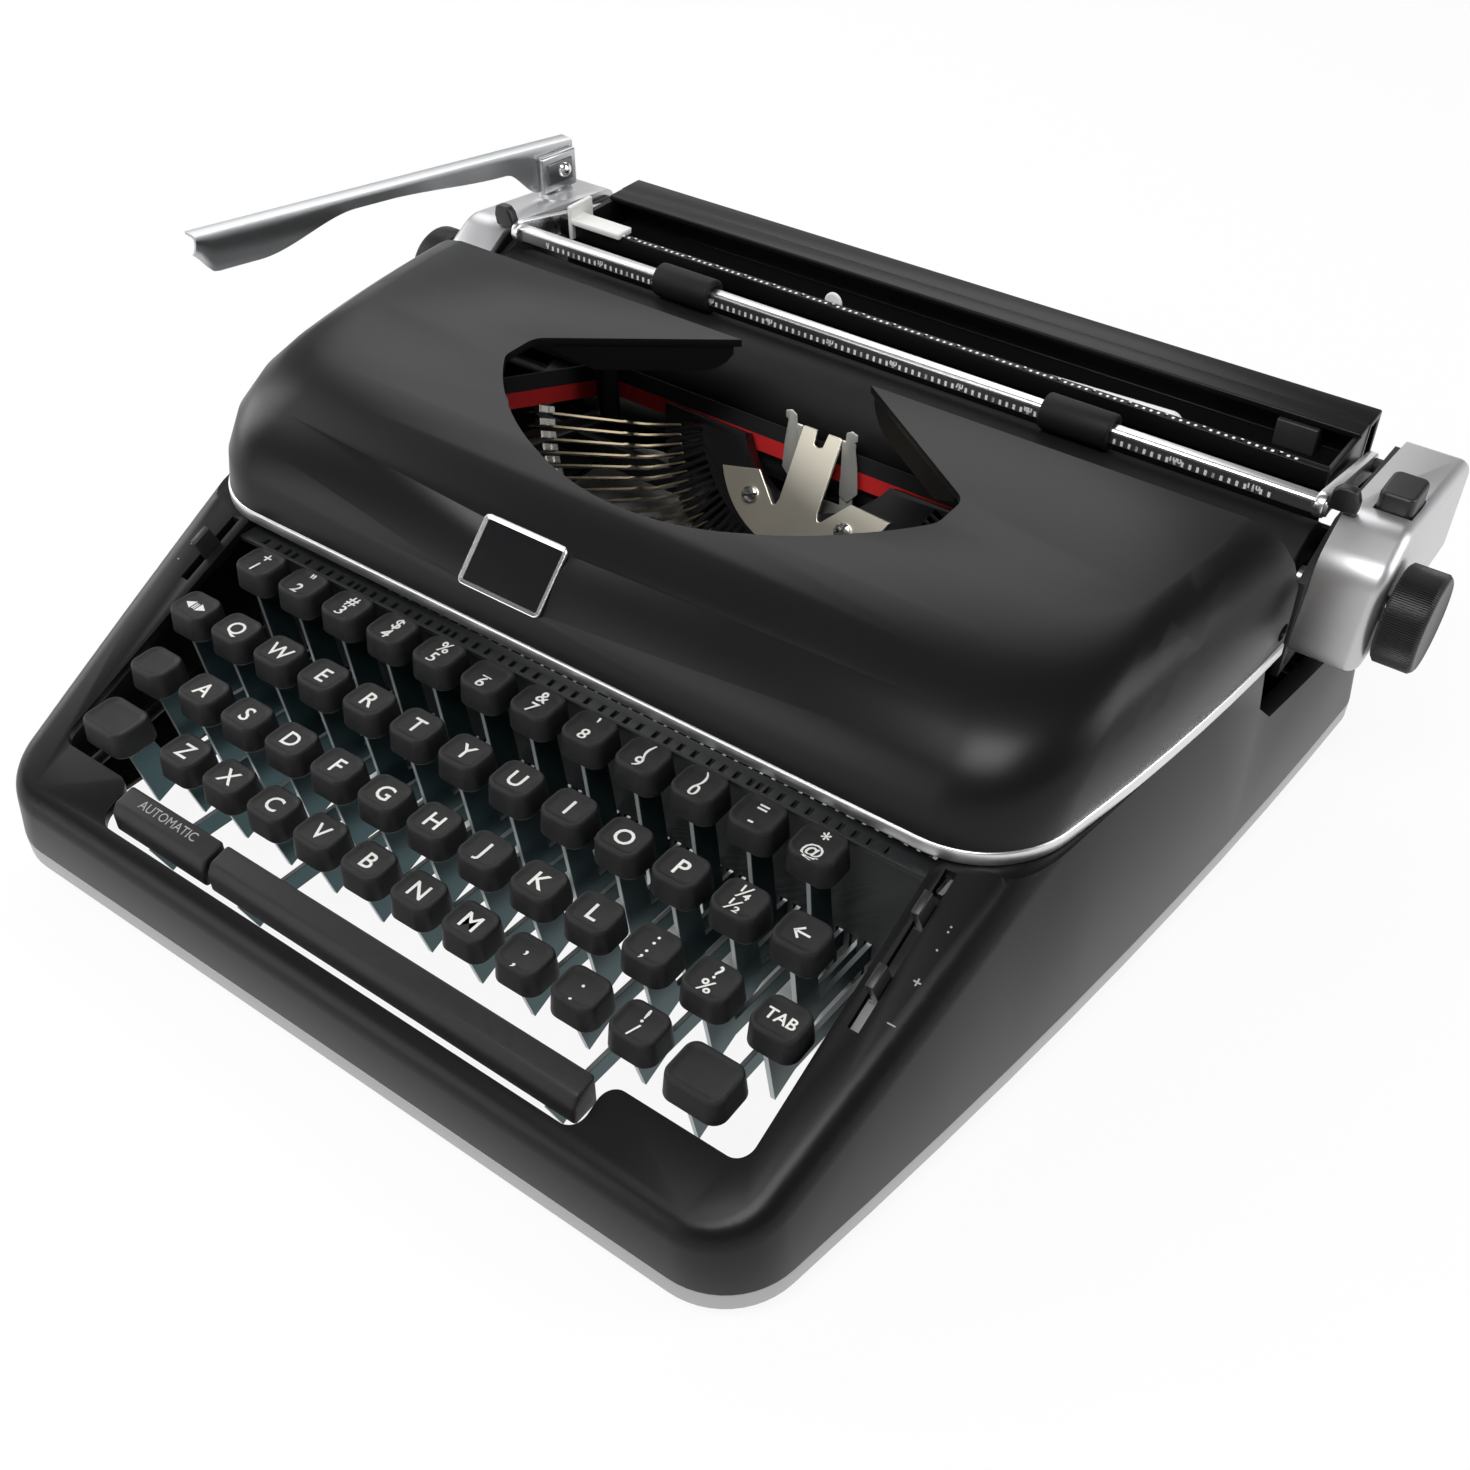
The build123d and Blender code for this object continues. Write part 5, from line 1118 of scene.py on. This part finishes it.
# Studio: a white paper sweep under five broad soft boxes, seen from the photograph's place.
# The sweep glows white to the camera and in bright metal, but under the machine it keeps its shadow.
sweep_size, sweep_white, air_light, wall_top, wall_foot = 30, 0.9, 0.08, 0.3, 0.06
shade_half, shade_front, shade_back, side_fade, end_fade = 0.147, -0.085, 0.155, 0.004, 0.015
for name, place, aim, size, power in (
    ("key_light", (-0.62, 0.85, 1.0), (0, 0, 0.06), (1.3, 0.8), 8),
    ("top_light", (0.15, -0.75, 1.35), (0, -0.05, 0.06), (0.8, 0.5), 15),
    ("front_light", (-0.75, -1.25, 0.52), (0, 0.05, 0.07), (0.9, 0.7), 5),
    ("right_light", (1.25, 0.55, 0.75), (0.05, 0, 0.06), (0.6, 0.9), 9),
    ("left_light", (-1.3, -0.1, 0.6), (0, 0, 0.06), (0.5, 0.9), 6),
):
    lamp = bpy.data.lights.new(name, "AREA")
    lamp.shape = "RECTANGLE"
    lamp.size, lamp.size_y = size
    lamp.energy = power
    holder = added(name, lamp)
    holder.location = place
    holder.rotation_euler = (Vector(aim) - Vector(place)).to_track_quat("-Z", "Y").to_euler()


def looks_at(tree):
    """Two values: 1 where the camera sees a surface itself, and 1 where metal or glass shows it."""
    path = wired(tree, "ShaderNodeLightPath").outputs
    mirrored = reckoned(tree, "ADD", path["Is Glossy Ray"], path["Is Transmission Ray"], clamp=True)
    return path["Is Camera Ray"], mirrored


shape = bmesh.new()
bmesh.ops.create_grid(shape, x_segments=1, y_segments=1, size=sweep_size)
floor = added("sweep", written(shape))
paper = surface("paper_sweep", (0.92, 0.92, 0.92), 0.9, mottle=3, spread=0.01, grain=300, depth=0.01)
tree = paper.node_tree
place = tree.nodes["Texture Coordinate"].outputs["Object"]
spot = wired(tree, "ShaderNodeSeparateXYZ", {"Vector": place}).outputs
inside = 1.0
for axis, edge, fade in (
    ("X", -shade_half, side_fade), ("X", shade_half, -side_fade),
    ("Y", shade_front, end_fade), ("Y", shade_back, -end_fade),
):
    ramp = wired(tree, "ShaderNodeMapRange", {"Value": spot[axis], "From Min": edge, "From Max": edge + fade})
    inside = reckoned(tree, "MULTIPLY", inside, ramp.outputs["Result"], clamp=True)
in_the_open = reckoned(tree, "SUBTRACT", sweep_white, inside, clamp=True)
shown = reckoned(tree, "ADD", *looks_at(tree), clamp=True)
glow = wired(tree, "ShaderNodeEmission", {"Strength": 1})
mixed = wired(tree, "ShaderNodeMixShader", {
    "Fac": reckoned(tree, "MULTIPLY", shown, in_the_open, clamp=True),
    1: tree.nodes["Principled BSDF"].outputs["BSDF"], 2: glow.outputs["Emission"],
})
feed(tree, tree.nodes["Material Output"], {"Surface": mixed.outputs["Shader"]})
floor.data.materials.append(paper)

world = bpy.data.worlds.new("studio")
bpy.context.scene.world = world
world.use_nodes = True
air = world.node_tree
heading = wired(air, "ShaderNodeTexCoord").outputs["Generated"]
height = wired(air, "ShaderNodeSeparateXYZ", {"Vector": heading}).outputs["Z"]
wall = wired(air, "ShaderNodeMapRange", {"Value": height, "From Min": wall_top, "From Max": wall_foot})
seen, mirrored = looks_at(air)
on_wall = reckoned(air, "MULTIPLY", mirrored, wall.outputs["Result"], clamp=True)
shown = reckoned(air, "ADD", seen, on_wall, clamp=True)
level = wired(air, "ShaderNodeMapRange", {"Value": shown, "To Min": air_light, "To Max": 1.0})
feed(air, air.nodes["Background"], {"Color": (1, 1, 1, 1), "Strength": level.outputs["Result"]})

camera = bpy.data.cameras.new("camera")
camera.sensor_width = 36
camera.lens = 39.84
camera.clip_start = 0.01
eye = added("camera", camera)
eye.location = (0.2543, -0.3251, 0.3722)
eye.rotation_euler = (math.radians(48.15), 0, math.radians(35.98))
bpy.context.scene.camera = eye
bpy.context.scene.view_settings.view_transform = "Standard"
